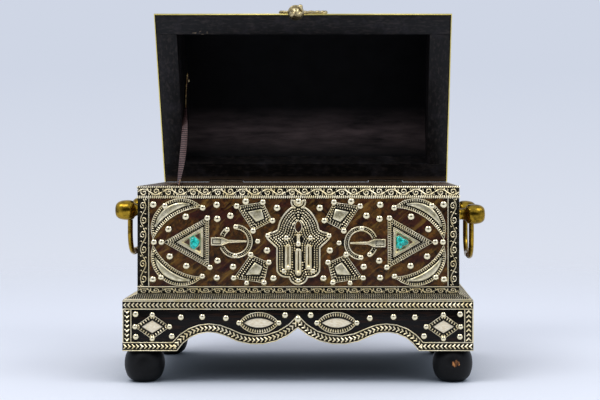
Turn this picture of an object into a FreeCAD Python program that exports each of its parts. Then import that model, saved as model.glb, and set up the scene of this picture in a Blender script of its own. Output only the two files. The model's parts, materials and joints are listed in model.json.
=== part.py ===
import FreeCAD, Part
import math
import os
from FreeCAD import Vector

# Inlaid chest with a vaulted lid on a scalloped plinth. Millimetres, +Z up, +Y to the rear.
# The origin is on the floor, under the middle of the case. The lid stands open on its strap.

# Driving sizes of the case
body_width = 300.0
body_depth = 188.0
body_height = 101.0
wall = 21.0
floor_thickness = 10.0
strip_thickness = 1.0
field_thickness = 0.5
plate_thickness = 1.2
bezel_rise = 1.0
stone_height = 2.0
bead_height = 0.8
top_strip = 11.3
bottom_strip = 8.0
side_strip = 11.3

# Driving sizes of the plinth and feet
plinth_overhang = 12.0
apron_height = 46.7
apron_thickness = 14.0
top_board_edge = 1.5
bevel_rise = 4.3
bevel_skin = 0.6
chevron_strip = 8.4
foot_height = 30.0
foot_diameter = 37.4
foot_inset = 18.0
corner_block = 30.0

# Driving sizes of the lid
lid_rail_height = 26.0
lid_lean = 19.0
stave_thickness = 12.0
stave_count = 9
open_angle = 65.0

# Driving sizes of the hinges, handles, pull and strap
hinge_length = 36.0
hinge_leaf_height = 18.0
hinge_leaf_thickness = 1.2
hinge_spacing = 170.0
knuckle_radius = 2.6
hinge_pin_radius = 1.2
post_spacing = 100.0
post_length = 28.0
post_head_length = 18.0
post_head_diameter = 19.3
post_neck_diameter = 12.0
post_tang = 4.6
post_clench = 9.0
clench_height = 1.8
bail_seat = 8.0
left_post_below_rim = 24.0
right_post_below_rim = 28.0
bail_reach = 16.0
bail_drop = 42.5
bail_diameter = 5.0
bail_grip_diameter = 6.6
bail_grip_length = 26.0
bail_corner = 21.0
pull_width = 50.0
pull_height = 20.0
pull_offset = -6.0
pull_bud_diameter = 16.6
pull_pivot_height = 13.0
pull_bud_below_rim = 24.0
strap_width = 7.0
strap_thickness = 1.6
strap_anchor_below_rim = 32.0
strap_anchor_in_lid = 56.0
strap_bow = 3.2
strap_end = 8.0

# Nails
nail_head_radius = 2.7
small_nail_radius = 2.4
field_nail_radius = 3.1
nail_head_height = 1.5

# Clearances
lid_gap = 0.3
inlay_gap = 0.1
hole_gap = 0.05
soft_gap = 0.3
bud_gap = 3.2

# Levels and half sizes that follow from them
apron_bottom = foot_height
apron_top = apron_bottom + apron_height
body_bottom = apron_top + bevel_rise
body_top = body_bottom + body_height
half_w = body_width / 2
half_d = body_depth / 2
core_w = half_w - strip_thickness
core_d = half_d - strip_thickness
inner_w = half_w - wall
inner_d = half_d - wall
plinth_w = half_w + plinth_overhang
plinth_d = half_d + plinth_overhang
apron_w = plinth_w - strip_thickness
apron_d = plinth_d - strip_thickness
apron_inner_w = apron_w - apron_thickness
apron_inner_d = apron_d - apron_thickness
lid_base = body_top + lid_gap
axis_z = body_top + lid_gap / 2
field_left = half_w - side_strip
field_low = body_bottom + bottom_strip
field_high = body_top - top_strip
field_mid = (field_low + field_high) / 2
field_half = (field_high - field_low) / 2
field_front = core_d + field_thickness

# The front ornament is laid out in shares of the field's half width and half height.
# Round pieces keep their shape: they are sized in shares of one unit, the smaller of the two ways.
unit = min(field_half, 0.2945 * field_left)

# The front and rear rails of the lid lean inwards, and the vault is an arc that runs on from their slopes
lean = math.radians(lid_lean)
spring_z = lid_base + lid_rail_height * math.cos(lean)
vault_radius = (half_d - lid_rail_height * math.sin(lean)) / math.cos(lean)
vault_z = spring_z - vault_radius * math.sin(lean)
vault_half_angle = math.pi / 2 - lean
stave_outer = vault_radius - strip_thickness
stave_inner = stave_outer - stave_thickness

parts = {}


def box(x0, x1, y0, y1, z0, z1):
    return Part.makeBox(x1 - x0, y1 - y0, z1 - z0, Vector(x0, y0, z0))


def polygon(points):
    return Part.makePolygon(points + points[:1])


def arc(a, b, c):
    return Part.Arc(a, b, c).toShape()


def line(a, b):
    return Part.makeLine(a, b)


def bend(a, b, c, chords=6):
    """The arc from a through b to c, laid out as a few equal chords, as a sawn or filed edge is."""
    points = arc(a, b, c).discretize(chords + 1)
    return [line(p, q) for p, q in zip(points, points[1:])]


def plate(wires, base, thickness):
    """A flat piece drawn in the XZ plane, with its back at y = -base and its face towards the front."""
    face = Part.makeFace(wires, "Part::FaceMakerBullseye")
    face.translate(Vector(0, -base, 0))
    return face.extrude(Vector(0, -thickness, 0)).Solids[0]


def mirror_x(shape):
    return shape.mirror(Vector(0, 0, 0), Vector(1, 0, 0))


def mirror_y(shape):
    return shape.mirror(Vector(0, 0, 0), Vector(0, 1, 0))


def rod(radius, start, end):
    return Part.makeCylinder(radius, start.distanceToPoint(end), start, end - start)


def opened(shape):
    """Turns a piece of the closed lid about the hinge axis to the open position."""
    turned = shape.copy()
    turned.rotate(Vector(0, half_d, axis_z), Vector(1, 0, 0), -open_angle)
    return turned


def on_field(x, z):
    """A point of the front field, in shares of its half width and half height from its middle."""
    return Vector(x * field_left, 0, field_mid + z * field_half)


def hinge_centres():
    return [-hinge_spacing / 2, hinge_spacing / 2]


def hinge_notches():
    """Rounds cut from the rear edges of case and lid so the knuckles turn freely."""
    reach = hinge_length / 2 + soft_gap
    radius = knuckle_radius + soft_gap
    cuts = []
    for x in hinge_centres():
        cuts.append(rod(radius, Vector(x - reach, half_d, axis_z), Vector(x + reach, half_d, axis_z)))
    return Part.makeCompound(cuts)


def post_places(side):
    below = left_post_below_rim if side < 0 else right_post_below_rim
    return [Vector(side * half_w, y, body_top - below) for y in (-post_spacing / 2, post_spacing / 2)]


def side_board(side):
    board = box(-core_w, -inner_w, -inner_d, inner_d, body_bottom, body_top)
    if side > 0:
        board = mirror_x(board)
    for place in post_places(side):
        board = board.cut(tang(place, post_tang + 2 * hole_gap, -2 * wall, wall))
    return board


def case_boards():
    front = box(-core_w, core_w, -core_d, -inner_d, body_bottom, body_top)
    parts["case_front_board"] = [front]
    parts["case_rear_board"] = [mirror_y(front).cut(hinge_notches())]
    parts["case_left_board"] = [side_board(-1)]
    parts["case_right_board"] = [side_board(1)]
    floor_top = body_bottom + floor_thickness
    parts["case_floor_board"] = [box(-inner_w, inner_w, -inner_d, inner_d, body_bottom, floor_top)]


def front_strips():
    top = box(-half_w, half_w, -half_d, -core_d, field_high, body_top)
    bottom = box(-half_w, half_w, -half_d, -core_d, body_bottom, field_low)
    left = box(-half_w, -field_left, -half_d, -core_d, field_low, field_high)
    return [top, bottom, left, mirror_x(left)]


def right_side_strips():
    end = core_d - side_strip
    top = box(core_w, half_w, -core_d, core_d, field_high, body_top)
    bottom = box(core_w, half_w, -core_d, core_d, body_bottom, field_low)
    near = box(core_w, half_w, -core_d, -end, field_low, field_high)
    return [top, bottom, near, mirror_y(near)]


def case_cladding():
    front = front_strips()
    parts["front_strips"] = front
    parts["rear_strips"] = [mirror_y(s).cut(hinge_notches()).Solids[0] for s in front]
    right = right_side_strips()
    parts["side_strips"] = right + [mirror_x(s) for s in right]
    field = box(-field_left, field_left, -field_front, -core_d, field_low, field_high)
    parts["front_field"] = [field]
    end = core_d - side_strip
    sides = []
    for x0, x1, side in ((core_w, core_w + field_thickness, 1), (-core_w - field_thickness, -core_w, -1)):
        panel = box(x0, x1, -end, end, field_low, field_high)
        for place in post_places(side):
            panel = panel.cut(tang(place, post_tang + 2 * hole_gap, -wall, wall))
        sides.append(panel)
    parts["outer_fields"] = sides + [mirror_y(field)]


def lune(a, b, outer, inner):
    return Part.Wire(bend(a, outer, b, 7) + bend(b, inner, a, 7))


def inner_lune(a, b, outer, inner, inset, trim):
    """A smaller crescent inside the first: tips moved along the middle, arcs moved together."""
    middle = (outer + inner) * 0.5
    spine = Part.Arc(a, middle, b).toShape()
    low = spine.valueAt(spine.FirstParameter + trim * (spine.LastParameter - spine.FirstParameter))
    high = spine.valueAt(spine.LastParameter - trim * (spine.LastParameter - spine.FirstParameter))
    return lune(low, high, outer + (inner - outer) * inset, inner + (outer - inner) * inset)


def crescents():
    """Four horn-shaped frames in the corners of the field, each with a smooth silver crescent let in."""
    tip, top = (-0.977, 0.056), (-0.641, 0.793)
    outer, inner = (-0.913, 0.847), (-0.855, 0.553)
    frames, inlays = [], []
    for flip_x in (1, -1):
        for flip_z in (1, -1):
            a, b, o, i = [on_field(flip_x * x, flip_z * z) for x, z in (tip, top, outer, inner)]
            wires = [lune(a, b, o, i), inner_lune(a, b, o, i, 0.26, 0.16)]
            frames.append(plate(wires, field_front, plate_thickness))
            inlays.append(plate([inner_lune(a, b, o, i, 0.28, 0.17)], field_front, plate_thickness))
    parts["crescent_frames"] = frames
    parts["crescent_inlays"] = inlays


def shrink(points, amount):
    """Moves the corners of a polygon towards its middle by a share of their distance."""
    middle = Vector(0, 0, 0)
    for p in points:
        middle = middle + p * (1.0 / len(points))
    return [p + (middle - p) * amount for p in points]


upper_kite = [(-0.415, 0.823), (-0.239, 0.911), (-0.174, 0.490), (-0.305, 0.255)]
upper_kite_window = [(-0.345, 0.698), (-0.247, 0.766), (-0.227, 0.534), (-0.285, 0.450)]
lower_kite = [(-0.321, -0.284), (-0.199, -0.463), (-0.231, -0.930), (-0.435, -0.823)]
lower_kite_window = [(-0.293, -0.448), (-0.239, -0.561), (-0.260, -0.754), (-0.358, -0.754)]


def kites():
    """Two pairs of four-sided frames beside the hand, each with a plain silver plate in its window."""
    frames, silver = [], []
    for flip in (1, -1):
        for outline, window in ((upper_kite, upper_kite_window), (lower_kite, lower_kite_window)):
            outer = [on_field(flip * x, z) for x, z in outline]
            inner = [on_field(flip * x, z) for x, z in window]
            frames.append(plate([polygon(outer), polygon(inner)], field_front, plate_thickness))
            silver.append(plate([polygon(shrink(inner, 0.02))], field_front, plate_thickness))
    parts["kite_frames"] = frames
    parts["kite_plates"] = silver


triangle_outline = [(-0.908, 0.0), (-0.601, 0.592), (-0.601, -0.592)]
triangle_window = [(-0.822, 0.0), (-0.637, 0.360), (-0.637, -0.360)]
stone_at = (-0.702, 0.0)
stone_radius = 0.152


def triangles():
    """A pointed frame on each side, with a raised bezel round a brown ground and a turquoise stone."""
    bezel_height = plate_thickness + bezel_rise
    frames, bezels, grounds, stones = [], [], [], []
    for flip in (1, -1):
        outer = [on_field(flip * x, z) for x, z in triangle_outline]
        window = [on_field(flip * x, z) for x, z in triangle_window]
        rim = shrink(window, 0.02)
        bed = shrink(window, 0.22)
        frames.append(plate([polygon(outer), polygon(window)], field_front, plate_thickness))
        bezels.append(plate([polygon(rim), polygon(bed)], field_front, bezel_height))
        grounds.append(plate([polygon(shrink(window, 0.24))], field_front, plate_thickness / 2))
        sides = 6 if flip > 0 else 3
        middle = on_field(flip * stone_at[0], stone_at[1])
        corners = []
        for k in range(sides):
            turn = 2 * math.pi * k / sides + (0.0 if flip > 0 else math.pi)
            corners.append(middle + Vector(0.85 * math.cos(turn), 0, math.sin(turn)) * stone_radius * unit)
        stone = plate([polygon(corners)], field_front + plate_thickness / 2, stone_height)
        front = min(stone.Faces, key=lambda f: f.CenterOfMass.y)
        stones.append(stone.makeChamfer(stone_height / 3, front.Edges))
    parts["triangle_frames"] = frames
    parts["triangle_bezels"] = bezels
    parts["triangle_grounds"] = grounds
    parts["turquoise_stones"] = stones


brooch_at = (-0.419, 0.020)
brooch_ring = 0.333
brooch_band = 0.1175
brooch_head = 0.0955
brooch_spike = 0.132
brooch_open_from = 91.0
brooch_open_to = 127.0


def ring_sector(centre, inner, outer, start, end):
    """A flat curved band between two angles, in degrees."""

    def point(radius, angle):
        turn = math.radians(angle)
        return centre + Vector(radius * math.cos(turn), 0, radius * math.sin(turn))

    chords = max(2, round(abs(end - start) / 22))
    angles = [start + (end - start) * k / chords for k in range(chords + 1)]
    return polygon([point(outer, a) for a in angles] + [point(inner, a) for a in reversed(angles)])


def brooches():
    """A ring brooch on each side: an open ring with a point, and a pin whose head crosses the ring.

    The right one is the left one turned half round, not mirrored.
    """
    centre = on_field(*brooch_at)
    inner = (brooch_ring - brooch_band / 2) * unit
    outer = (brooch_ring + brooch_band / 2) * unit
    clear = math.degrees(math.asin((brooch_head * unit + inlay_gap) / inner))
    long_wire = ring_sector(centre, inner, outer, 180 + clear, 360 + brooch_open_from)
    short_wire = ring_sector(centre, inner, outer, brooch_open_to, 180 - clear)
    ends = [plate([wire], field_front, plate_thickness) for wire in (long_wire, short_wire)]
    root = outer - 0.01 * unit
    spread = 0.7 * brooch_band * unit
    tip = centre + Vector(outer + brooch_spike * unit, 0, 0)
    spike = polygon([centre + Vector(root, 0, spread), tip, centre + Vector(root, 0, -spread)])
    ends[0] = ends[0].fuse(plate([spike], field_front, plate_thickness)).removeSplitter().Solids[0]
    half_profile = ((-0.570, brooch_head), (-0.306, brooch_head), (-0.171, 0.037), (0.245, 0.022))
    shape = [(x, z) for x, z in half_profile] + [(x, -z) for x, z in reversed(half_profile)]
    pin_wire = polygon([centre + Vector(x, 0, z) * unit for x, z in shape])
    pin = plate([pin_wire], field_front, 2 * plate_thickness)
    middle = Vector(0, 0, field_mid)
    parts["brooch_rings"] = ends + [s.copy().rotate(middle, Vector(0, 1, 0), 180) for s in ends]
    parts["brooch_pins"] = [pin, pin.copy().rotate(middle, Vector(0, 1, 0), 180)]


hand_top = 0.783
hand_loop_rise = 0.142
hand_loop_inner = 0.0955
hand_loop_outer = 0.1615


def bead(x, low, high, half, inset=0.0):
    """A long bead with both ends bevelled, as an outline on the hand."""
    foot, head = on_field(x, low), on_field(x, high)
    end = head.z - foot.z - 2 * inset * unit
    wide = half * unit
    up = [(-wide, wide), (-wide, end - wide), (-0.4 * wide, end)]
    down = [(-dx, dz) for dx, dz in reversed(up)]
    side = up + down + [(0.4 * wide, 0), (-0.4 * wide, 0)]
    return polygon([foot + Vector(dx, 0, dz + inset * unit) for dx, dz in side])


def hand_outline():
    """The hand points down: sloping shoulders, two thumbs, a block of fingers, a longer middle one."""
    wrist, shoulder, thumb = on_field(0.046, hand_top), on_field(0.137, 0.294), on_field(0.190, 0.213)
    below_thumb, palm, knuckle = on_field(0.2005, 0.056), on_field(0.143, -0.122), on_field(0.143, -0.5875)
    finger_end, middle_root, tip = on_field(0.0865, -0.791), on_field(0.061, -0.791), on_field(0, -0.9645)
    right = bend(wrist, on_field(0.107, 0.566), shoulder, 4)
    right += bend(shoulder, on_field(0.161, 0.230), thumb, 3)
    right += bend(thumb, on_field(0.2105, 0.137), below_thumb, 3)
    right += [line(below_thumb, palm), line(palm, knuckle)]
    right += bend(knuckle, on_field(0.128, -0.7295), finger_end, 3)
    right += [line(finger_end, middle_root)]
    right += bend(middle_root, on_field(0.040, -0.9155), tip, 3)
    left = [mirror_x(e) for e in reversed(right)]
    top = line(mirror_x(Part.Vertex(wrist)).Point, wrist)
    return Part.Wire(Part.__sortEdges__([top] + right + left))


finger_rows = ((-0.069, -0.6365, -0.049), (0.0, -0.759, -0.147), (0.069, -0.6365, -0.049))


def hand_loop():
    """Middle of the hanging loop, which stands on the top of the hand."""
    return on_field(0, hand_top) + Vector(0, 0, hand_loop_rise * unit)


def hand():
    """A hamsa plate with an almond opening, and raised beads along the fingers."""
    top, low = on_field(0, 0.502), on_field(0, 0.2055)
    right, left = on_field(0.0245, 0.3525), on_field(-0.0245, 0.3525)
    almond = Part.Wire(bend(top, right, low, 4) + bend(low, left, top, 4))
    body = plate([hand_outline(), almond], field_front, plate_thickness)
    ring = ring_sector(hand_loop(), hand_loop_inner * unit, hand_loop_outer * unit, 168, 372)
    body = body.fuse(plate([ring], field_front, plate_thickness))
    face = field_front + plate_thickness
    for x, low, high in finger_rows:
        wires = [bead(x, low, high, 0.0636), bead(x, low, high, 0.027, 0.0367)]
        body = body.fuse(plate(wires, face, bead_height))
    drop = plate([bead(0, -0.108, 0.181, 0.0588)], face, bead_height)
    parts["hand_plate"] = body.fuse(drop).removeSplitter().Solids


def turned_stud(rings, sides):
    """A faceted turning standing on the XY plane, from (radius, height) pairs."""
    loops = []
    for radius, height in rings:
        turns = [math.pi * (2 * k + 1) / sides for k in range(sides)]
        loops.append([Vector(radius * math.cos(t), radius * math.sin(t), height) for t in turns])
    faces = [Part.Face(polygon(loops[0])), Part.Face(polygon(loops[-1]))]
    for low, high in zip(loops, loops[1:]):
        for k in range(sides):
            n = (k + 1) % sides
            faces.append(Part.Face(polygon([low[k], low[n], high[n], high[k]])))
    return Part.Solid(Part.makeShell(faces))


def nail(radius, height=nail_head_height):
    """A nail's domed head, with few facets because there are many."""
    return turned_stud([(radius, 0), (0.55 * radius, height)], 5)


def face_front(stud, place, base):
    copy = stud.copy()
    copy.rotate(Vector(0, 0, 0), Vector(1, 0, 0), 90)
    copy.translate(Vector(place.x, -base, place.z))
    return copy


field_nail_spots = ((-0.975, 0.857), (-0.757, 0.580), (-0.873, 0.296), (-0.549, 0.852), (-0.545, 0.531),
                    (-0.457, 0.602), (-0.354, 0.928), (-0.1435, 0.781), (-0.211, -0.191), (-0.8645, -0.328),
                    (-0.753, -0.546), (-0.543, -0.426), (-0.439, -0.5655), (-0.549, -0.818),
                    (-0.978, -0.854), (-0.168, -0.830))
tight_nail_spots = ((-0.3475, -0.9375),)
crescent_nail_spots = ((-0.8975, 0.827), (-0.643, 0.783), (-0.923, -0.808), (-0.646, -0.783), (-0.9705, 0.0))
triangle_nail_spots = ((-0.612, 0.548), (-0.594, -0.578), (-0.920, 0.0))
hand_nail_spots = ((0.206, 0.147), (0.081, 0.098), (0.0965, -0.661))
hand_tip_nail_z = -0.881


def front_nails():
    face = field_front + plate_thickness
    tall = plate_thickness + nail_head_height
    nails = []
    on_plates = list(crescent_nail_spots) + list(triangle_nail_spots) + upper_kite + lower_kite
    plate_head, small_head = nail(nail_head_radius), nail(small_nail_radius)
    field_head, tight_head = nail(field_nail_radius, tall), nail(small_nail_radius, tall)
    for flip in (1, -1):
        nails += [face_front(plate_head, on_field(flip * x, z), face) for x, z in on_plates]
        nails += [face_front(field_head, on_field(flip * x, z), field_front) for x, z in field_nail_spots]
        nails += [face_front(tight_head, on_field(flip * x, z), field_front) for x, z in tight_nail_spots]
        nails += [face_front(small_head, on_field(flip * x, z), face) for x, z in hand_nail_spots]
        centre = on_field(*brooch_at)
        ring = []
        for angle in (brooch_open_from, brooch_open_to, 266.0):
            turn = math.radians(angle)
            ring.append(centre + Vector(math.cos(turn), 0, math.sin(turn)) * brooch_ring * unit)
        reach = brooch_ring + brooch_band / 2 + 0.78 * brooch_spike
        ring.append(centre + Vector(reach * unit, 0, 0))
        for p in ring:
            place = Vector(flip * p.x, 0, field_mid + flip * (p.z - field_mid))
            nails.append(face_front(small_head, place, face))
    nails.append(face_front(small_head, on_field(0, hand_tip_nail_z), face))
    nails.append(face_front(field_head, hand_loop(), field_front))
    parts["front_nails"] = nails


def scallop(half, width, lift):
    """Lower edge of half an apron, raised by lift: a flat corner, an arch, a belly and a cusp.

    Returns edges from the outer end to the middle, on the left half, in the XZ plane.
    """
    shares = [Vector(-half * x, 0, apron_bottom + half * z) for x, z in
              ((0.688, 0.0), (0.556, 0.1), (0.411, 0.084), (0.204, 0.0383), (0.0, 0.1309))]
    start, arch_top, join, belly, cusp = shares
    arch = arc(start, arch_top, join).Curve
    sag = arc(join, belly, cusp).Curve

    def out(p):
        return p + (p - arch.Center).normalize() * lift

    def up(p):
        return p + (sag.Center - p).normalize() * lift

    foot_z = apron_bottom + lift
    drop = foot_z - arch.Center.z
    reach = math.sqrt((arch.Radius + lift)**2 - drop**2)
    first = Vector(arch.Center.x - reach, 0, foot_z)
    meet = (out(join) + up(join)) * 0.5
    rise = math.sqrt((sag.Radius - lift)**2 - sag.Center.x**2)
    last = Vector(0, 0, sag.Center.z - rise)
    corner = Vector(-width, 0, foot_z)
    return [line(corner, first)] + bend(first, out(arch_top), meet) + bend(meet, up(belly), last)


def apron_board(half, width):
    """One apron of the plinth, drawn facing the front with its back on the XZ plane."""
    low = scallop(half, width, 0)
    right = [mirror_x(e) for e in reversed(low)]
    board_top = apron_top - top_board_edge
    a, b = Vector(-width, 0, apron_bottom), Vector(width, 0, apron_bottom)
    c, d = Vector(width, 0, board_top), Vector(-width, 0, board_top)
    outline = low + right + [line(b, c), line(c, d), line(d, a)]
    return plate([Part.Wire(Part.__sortEdges__(outline))], 0, apron_thickness)


def apron_strips(half, width):
    """Chevron strips of one apron: along the top, down both ends, and along the scalloped edge."""
    low = scallop(half, width, 0)
    high = scallop(half, width, chevron_strip)
    ends = [line(Vector(-width, 0, apron_bottom), Vector(-width, 0, apron_bottom + chevron_strip))]
    ends.append(line(low[-1].Vertexes[-1].Point, high[-1].Vertexes[-1].Point))
    lower = plate([Part.Wire(Part.__sortEdges__(low + high + ends))], 0, strip_thickness)
    top = box(-width, width, -strip_thickness, 0, apron_top - chevron_strip, apron_top)
    side_low = apron_bottom + chevron_strip
    side = box(-width, -width + chevron_strip, -strip_thickness, 0, side_low, apron_top - chevron_strip)
    return [top, side, mirror_x(side), lower, mirror_x(lower)]


def turned(shape, angle, offset):
    """Turns a piece drawn facing the front about the vertical, after moving it out to its face."""
    copy = shape.copy()
    copy.translate(Vector(0, -offset, 0))
    copy.rotate(Vector(0, 0, 0), Vector(0, 0, 1), angle)
    return copy


def plinth():
    front = apron_board(plinth_w, apron_w)
    side = apron_board(plinth_d, apron_inner_d)
    parts["plinth_front_apron"] = [turned(front, 0, apron_inner_d)]
    parts["plinth_rear_apron"] = [turned(front, 180, apron_inner_d)]
    parts["plinth_right_apron"] = [turned(side, 90, apron_inner_w)]
    parts["plinth_left_apron"] = [turned(side, 270, apron_inner_w)]
    long_strips = apron_strips(plinth_w, plinth_w)
    short_strips = apron_strips(plinth_d, apron_d)
    parts["apron_front_strips"] = [turned(s, 0, apron_d) for s in long_strips]
    parts["apron_rear_strips"] = [turned(s, 180, apron_d) for s in long_strips]
    parts["apron_side_strips"] = [turned(s, a, apron_w) for s in short_strips for a in (90, 270)]


def top_board():
    """The bevelled board between plinth and case, and the four mitred strips on its slopes."""
    low = apron_top - top_board_edge

    def outline(edge, top):
        right = [(edge, low), (edge, apron_top), (top, body_bottom)]
        return right + [(-x, z) for x, z in reversed(right)]

    across = Part.Face(polygon([Vector(x, -plinth_d, z) for x, z in outline(apron_w, half_w)]))
    along = Part.Face(polygon([Vector(-plinth_w, y, z) for y, z in outline(apron_d, half_d)]))
    board = across.extrude(Vector(0, 2 * plinth_d, 0)).common(along.extrude(Vector(2 * plinth_w, 0, 0)))
    parts["plinth_top_board"] = [board.removeSplitter().Solids[0]]
    skins = []
    for face in parts["plinth_top_board"][0].Faces:
        normal = face.normalAt(0, 0)
        if 0.1 < normal.z < 0.999:
            skins.append(face.extrude(normal * bevel_skin).Solids[0])
    parts["bevel_strips"] = skins


lozenge_at = (-0.8296, 0.482)
lozenge_half = (0.1025, 0.2505)
lens_at = (-0.2222, 0.557)
lens_half = (0.1173, 0.214)
apron_field_spots = ((-0.9247, 0.728), (-0.719, 0.2955), (-0.9235, 0.283), (-0.6667, 0.668), (-0.545, 0.6745),
                     (-0.410, 0.651), (-0.0728, 0.711))
cusp_nail_z = 0.63


def on_apron(x, z):
    """A point of the front apron, in shares of its half width from its middle and of its height."""
    return Vector(x * plinth_w, 0, apron_bottom + z * apron_height)


def diamond(centre, half_x, half_z):
    ways = (Vector(-half_x, 0, 0), Vector(0, 0, half_z), Vector(half_x, 0, 0), Vector(0, 0, -half_z))
    return polygon([centre + way for way in ways])


def lens(centre, half_x, half_z):
    a, b = centre + Vector(-half_x, 0, 0), centre + Vector(half_x, 0, 0)
    return lune(a, b, centre + Vector(0, 0, half_z), centre + Vector(0, 0, -half_z))


def apron_ornament():
    """Lozenge and lens frames with bone let into them, and nails at their tips and between them."""
    frames, bones, nails = [], [], []
    frame_head = nail(small_nail_radius)
    board_head = nail(nail_head_radius, plate_thickness + nail_head_height)
    for flip in (1, -1):
        spots = []
        c = on_apron(flip * lozenge_at[0], lozenge_at[1])
        hx, hz = lozenge_half[0] * plinth_w, lozenge_half[1] * apron_height
        frames.append(plate([diamond(c, hx, hz), diamond(c, 0.62 * hx, 0.55 * hz)], apron_d, plate_thickness))
        bones.append(plate([diamond(c, 0.60 * hx, 0.53 * hz)], apron_d, plate_thickness))
        spots += [c + Vector(x * hx, 0, z * hz) for x, z in ((-0.96, 0), (0.96, 0), (0, 0.94), (0, -0.94))]
        c = on_apron(flip * lens_at[0], lens_at[1])
        hx, hz = lens_half[0] * plinth_w, lens_half[1] * apron_height
        frames.append(plate([lens(c, hx, hz), lens(c, 0.77 * hx, 0.48 * hz)], apron_d, plate_thickness))
        bones.append(plate([lens(c, 0.75 * hx, 0.46 * hz)], apron_d, plate_thickness))
        spots += [c + Vector(x * hx, 0, 0) for x in (-0.97, 0.97)]
        nails += [face_front(frame_head, p, apron_d + plate_thickness) for p in spots]
        nails += [face_front(board_head, on_apron(flip * x, z), apron_d) for x, z in apron_field_spots]
    nails.append(face_front(nail(field_nail_radius), on_apron(0, cusp_nail_z), plinth_d))
    parts["apron_frames"] = frames
    parts["apron_bones"] = bones
    parts["apron_nails"] = nails


def foot():
    """A turned bun foot, flat underneath and on top."""
    r = foot_diameter / 2
    profile = [(0.45, 0), (0.72, 0.1), (0.93, 0.3), (1.0, 0.55), (0.95, 0.8), (0.79, 1.0)]
    return turned_stud([(x * r, z * foot_height) for x, z in profile], 18)


def feet():
    buns, blocks = [], []
    for sx, sy in ((-1, -1), (1, -1), (-1, 1), (1, 1)):
        bun = foot()
        bun.translate(Vector(sx * (plinth_w - foot_inset), sy * (plinth_d - foot_inset), 0))
        buns.append(bun)
        x0, x1 = sorted((sx * apron_inner_w, sx * (apron_inner_w - corner_block)))
        y0, y1 = sorted((sy * apron_inner_d, sy * (apron_inner_d - corner_block)))
        blocks.append(box(x0, x1, y0, y1, apron_bottom, apron_top - top_board_edge))
    parts["bun_feet"] = buns
    parts["foot_blocks"] = blocks


def tang(place, size, start, end):
    """A square tang along X, from start to end outside the wall's face."""
    side = 1 if place.x > 0 else -1
    x0, x1 = sorted((place.x + side * start, place.x + side * end))
    return box(x0, x1, place.y - size / 2, place.y + size / 2, place.z - size / 2, place.z + size / 2)


def post(place):
    """A turned handle post on a square tang: a wide foot, a waisted neck and a round-nosed head."""
    side = 1 if place.x > 0 else -1
    inwards = 1 if place.y < 0 else -1
    r, neck = post_head_diameter / 2, post_neck_diameter / 2
    head = post_length - post_head_length
    foot_at = field_thickness - strip_thickness
    rings = [(neck + 1.5, foot_at), (neck + 1.5, 1.6), (neck - 0.9, 0.45 * head), (0.8 * r, head)]
    rings += [(r, head + 0.3 * post_head_length), (0.9 * r, head + 0.75 * post_head_length)]
    rings.append((0.5 * r, post_length))
    solid = turned_stud(rings, 12)
    solid.rotate(Vector(0, 0, 0), Vector(0, 1, 0), 90)
    start = Vector(bail_reach, inwards * post_head_diameter / 2, 0)
    depth = Vector(0, -inwards * (bail_seat + hole_gap), 0)
    solid = solid.cut(rod(bail_diameter / 2 + hole_gap, start - depth, start + depth))
    if side < 0:
        solid = mirror_x(solid)
    solid.translate(place)
    solid = solid.fuse(tang(place, post_tang, -wall - clench_height, foot_at + 0.5))
    return solid.fuse(tang(place, post_clench, -wall - clench_height, -wall)).removeSplitter().Solids[0]


def bail(side):
    """A drop handle: a bar bent to a wide U, its ends turned out into the posts, with a thicker grip."""
    place = post_places(side)[1]
    x, z = side * (half_w + bail_reach), place.z
    r = bail_diameter / 2
    head = post_spacing / 2 - post_head_diameter / 2
    end = head + bail_seat
    leg = head - 0.8 - r
    bend = r + 1.2
    low = z - bail_drop

    def bent(cy, cz, radius, start):
        """Points of a quarter bend in three chords."""
        turns = [math.radians(start + 30 * k) for k in range(4)]
        return [(cy + radius * math.cos(t), cz + radius * math.sin(t)) for t in turns]

    half = [(-end, z), (-leg - bend, z)] + bent(-leg - bend, z - bend, bend, 0)[2::-1]
    half += bent(-leg + bail_corner, low + bail_corner, bail_corner, 180)
    route = [Vector(x, y, h) for y, h in half] + [Vector(x, -y, h) for y, h in reversed(half)]
    turns = [math.pi * (2 * k + 1) / 8 for k in range(8)]
    ring = [route[0] + Vector(math.cos(t), 0, math.sin(t)) * r for t in turns]
    bar = Part.makePolygon(route).makePipeShell([polygon(ring)], True, False, 1)
    grip = turned_stud([(bail_grip_diameter / 2, 0), (bail_grip_diameter / 2, bail_grip_length)], 8)
    grip.rotate(Vector(0, 0, 0), Vector(1, 0, 0), -90)
    grip.translate(Vector(x, -bail_grip_length / 2, low))
    return bar.fuse(grip).removeSplitter().Solids[0]


def handles():
    parts["handle_posts"] = [post(p) for p in post_places(-1) + post_places(1)]
    parts["left_bail"] = [bail(-1)]
    parts["right_bail"] = [bail(1)]


def slope_point(up, out, x=0.0):
    """A point on the lid's rear slope: so far up it from the rim, and so far out from the strips' face."""
    rise = max(up, -out * math.tan(lean))
    y = half_d - rise * math.sin(lean) + out * math.cos(lean)
    return Vector(x, y, lid_base + rise * math.cos(lean) + out * math.sin(lean))


def slope_slab(low, high, back, face, x0, x1):
    """A flat piece on the rear slope, between two heights and two distances out; its foot is level."""
    ends = [(low, back), (low, face), (high, face), (high, back)]
    side = Part.Face(polygon([slope_point(up, out, x0) for up, out in ends]))
    return side.extrude(Vector(x1 - x0, 0, 0)).Solids[0]


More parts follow.
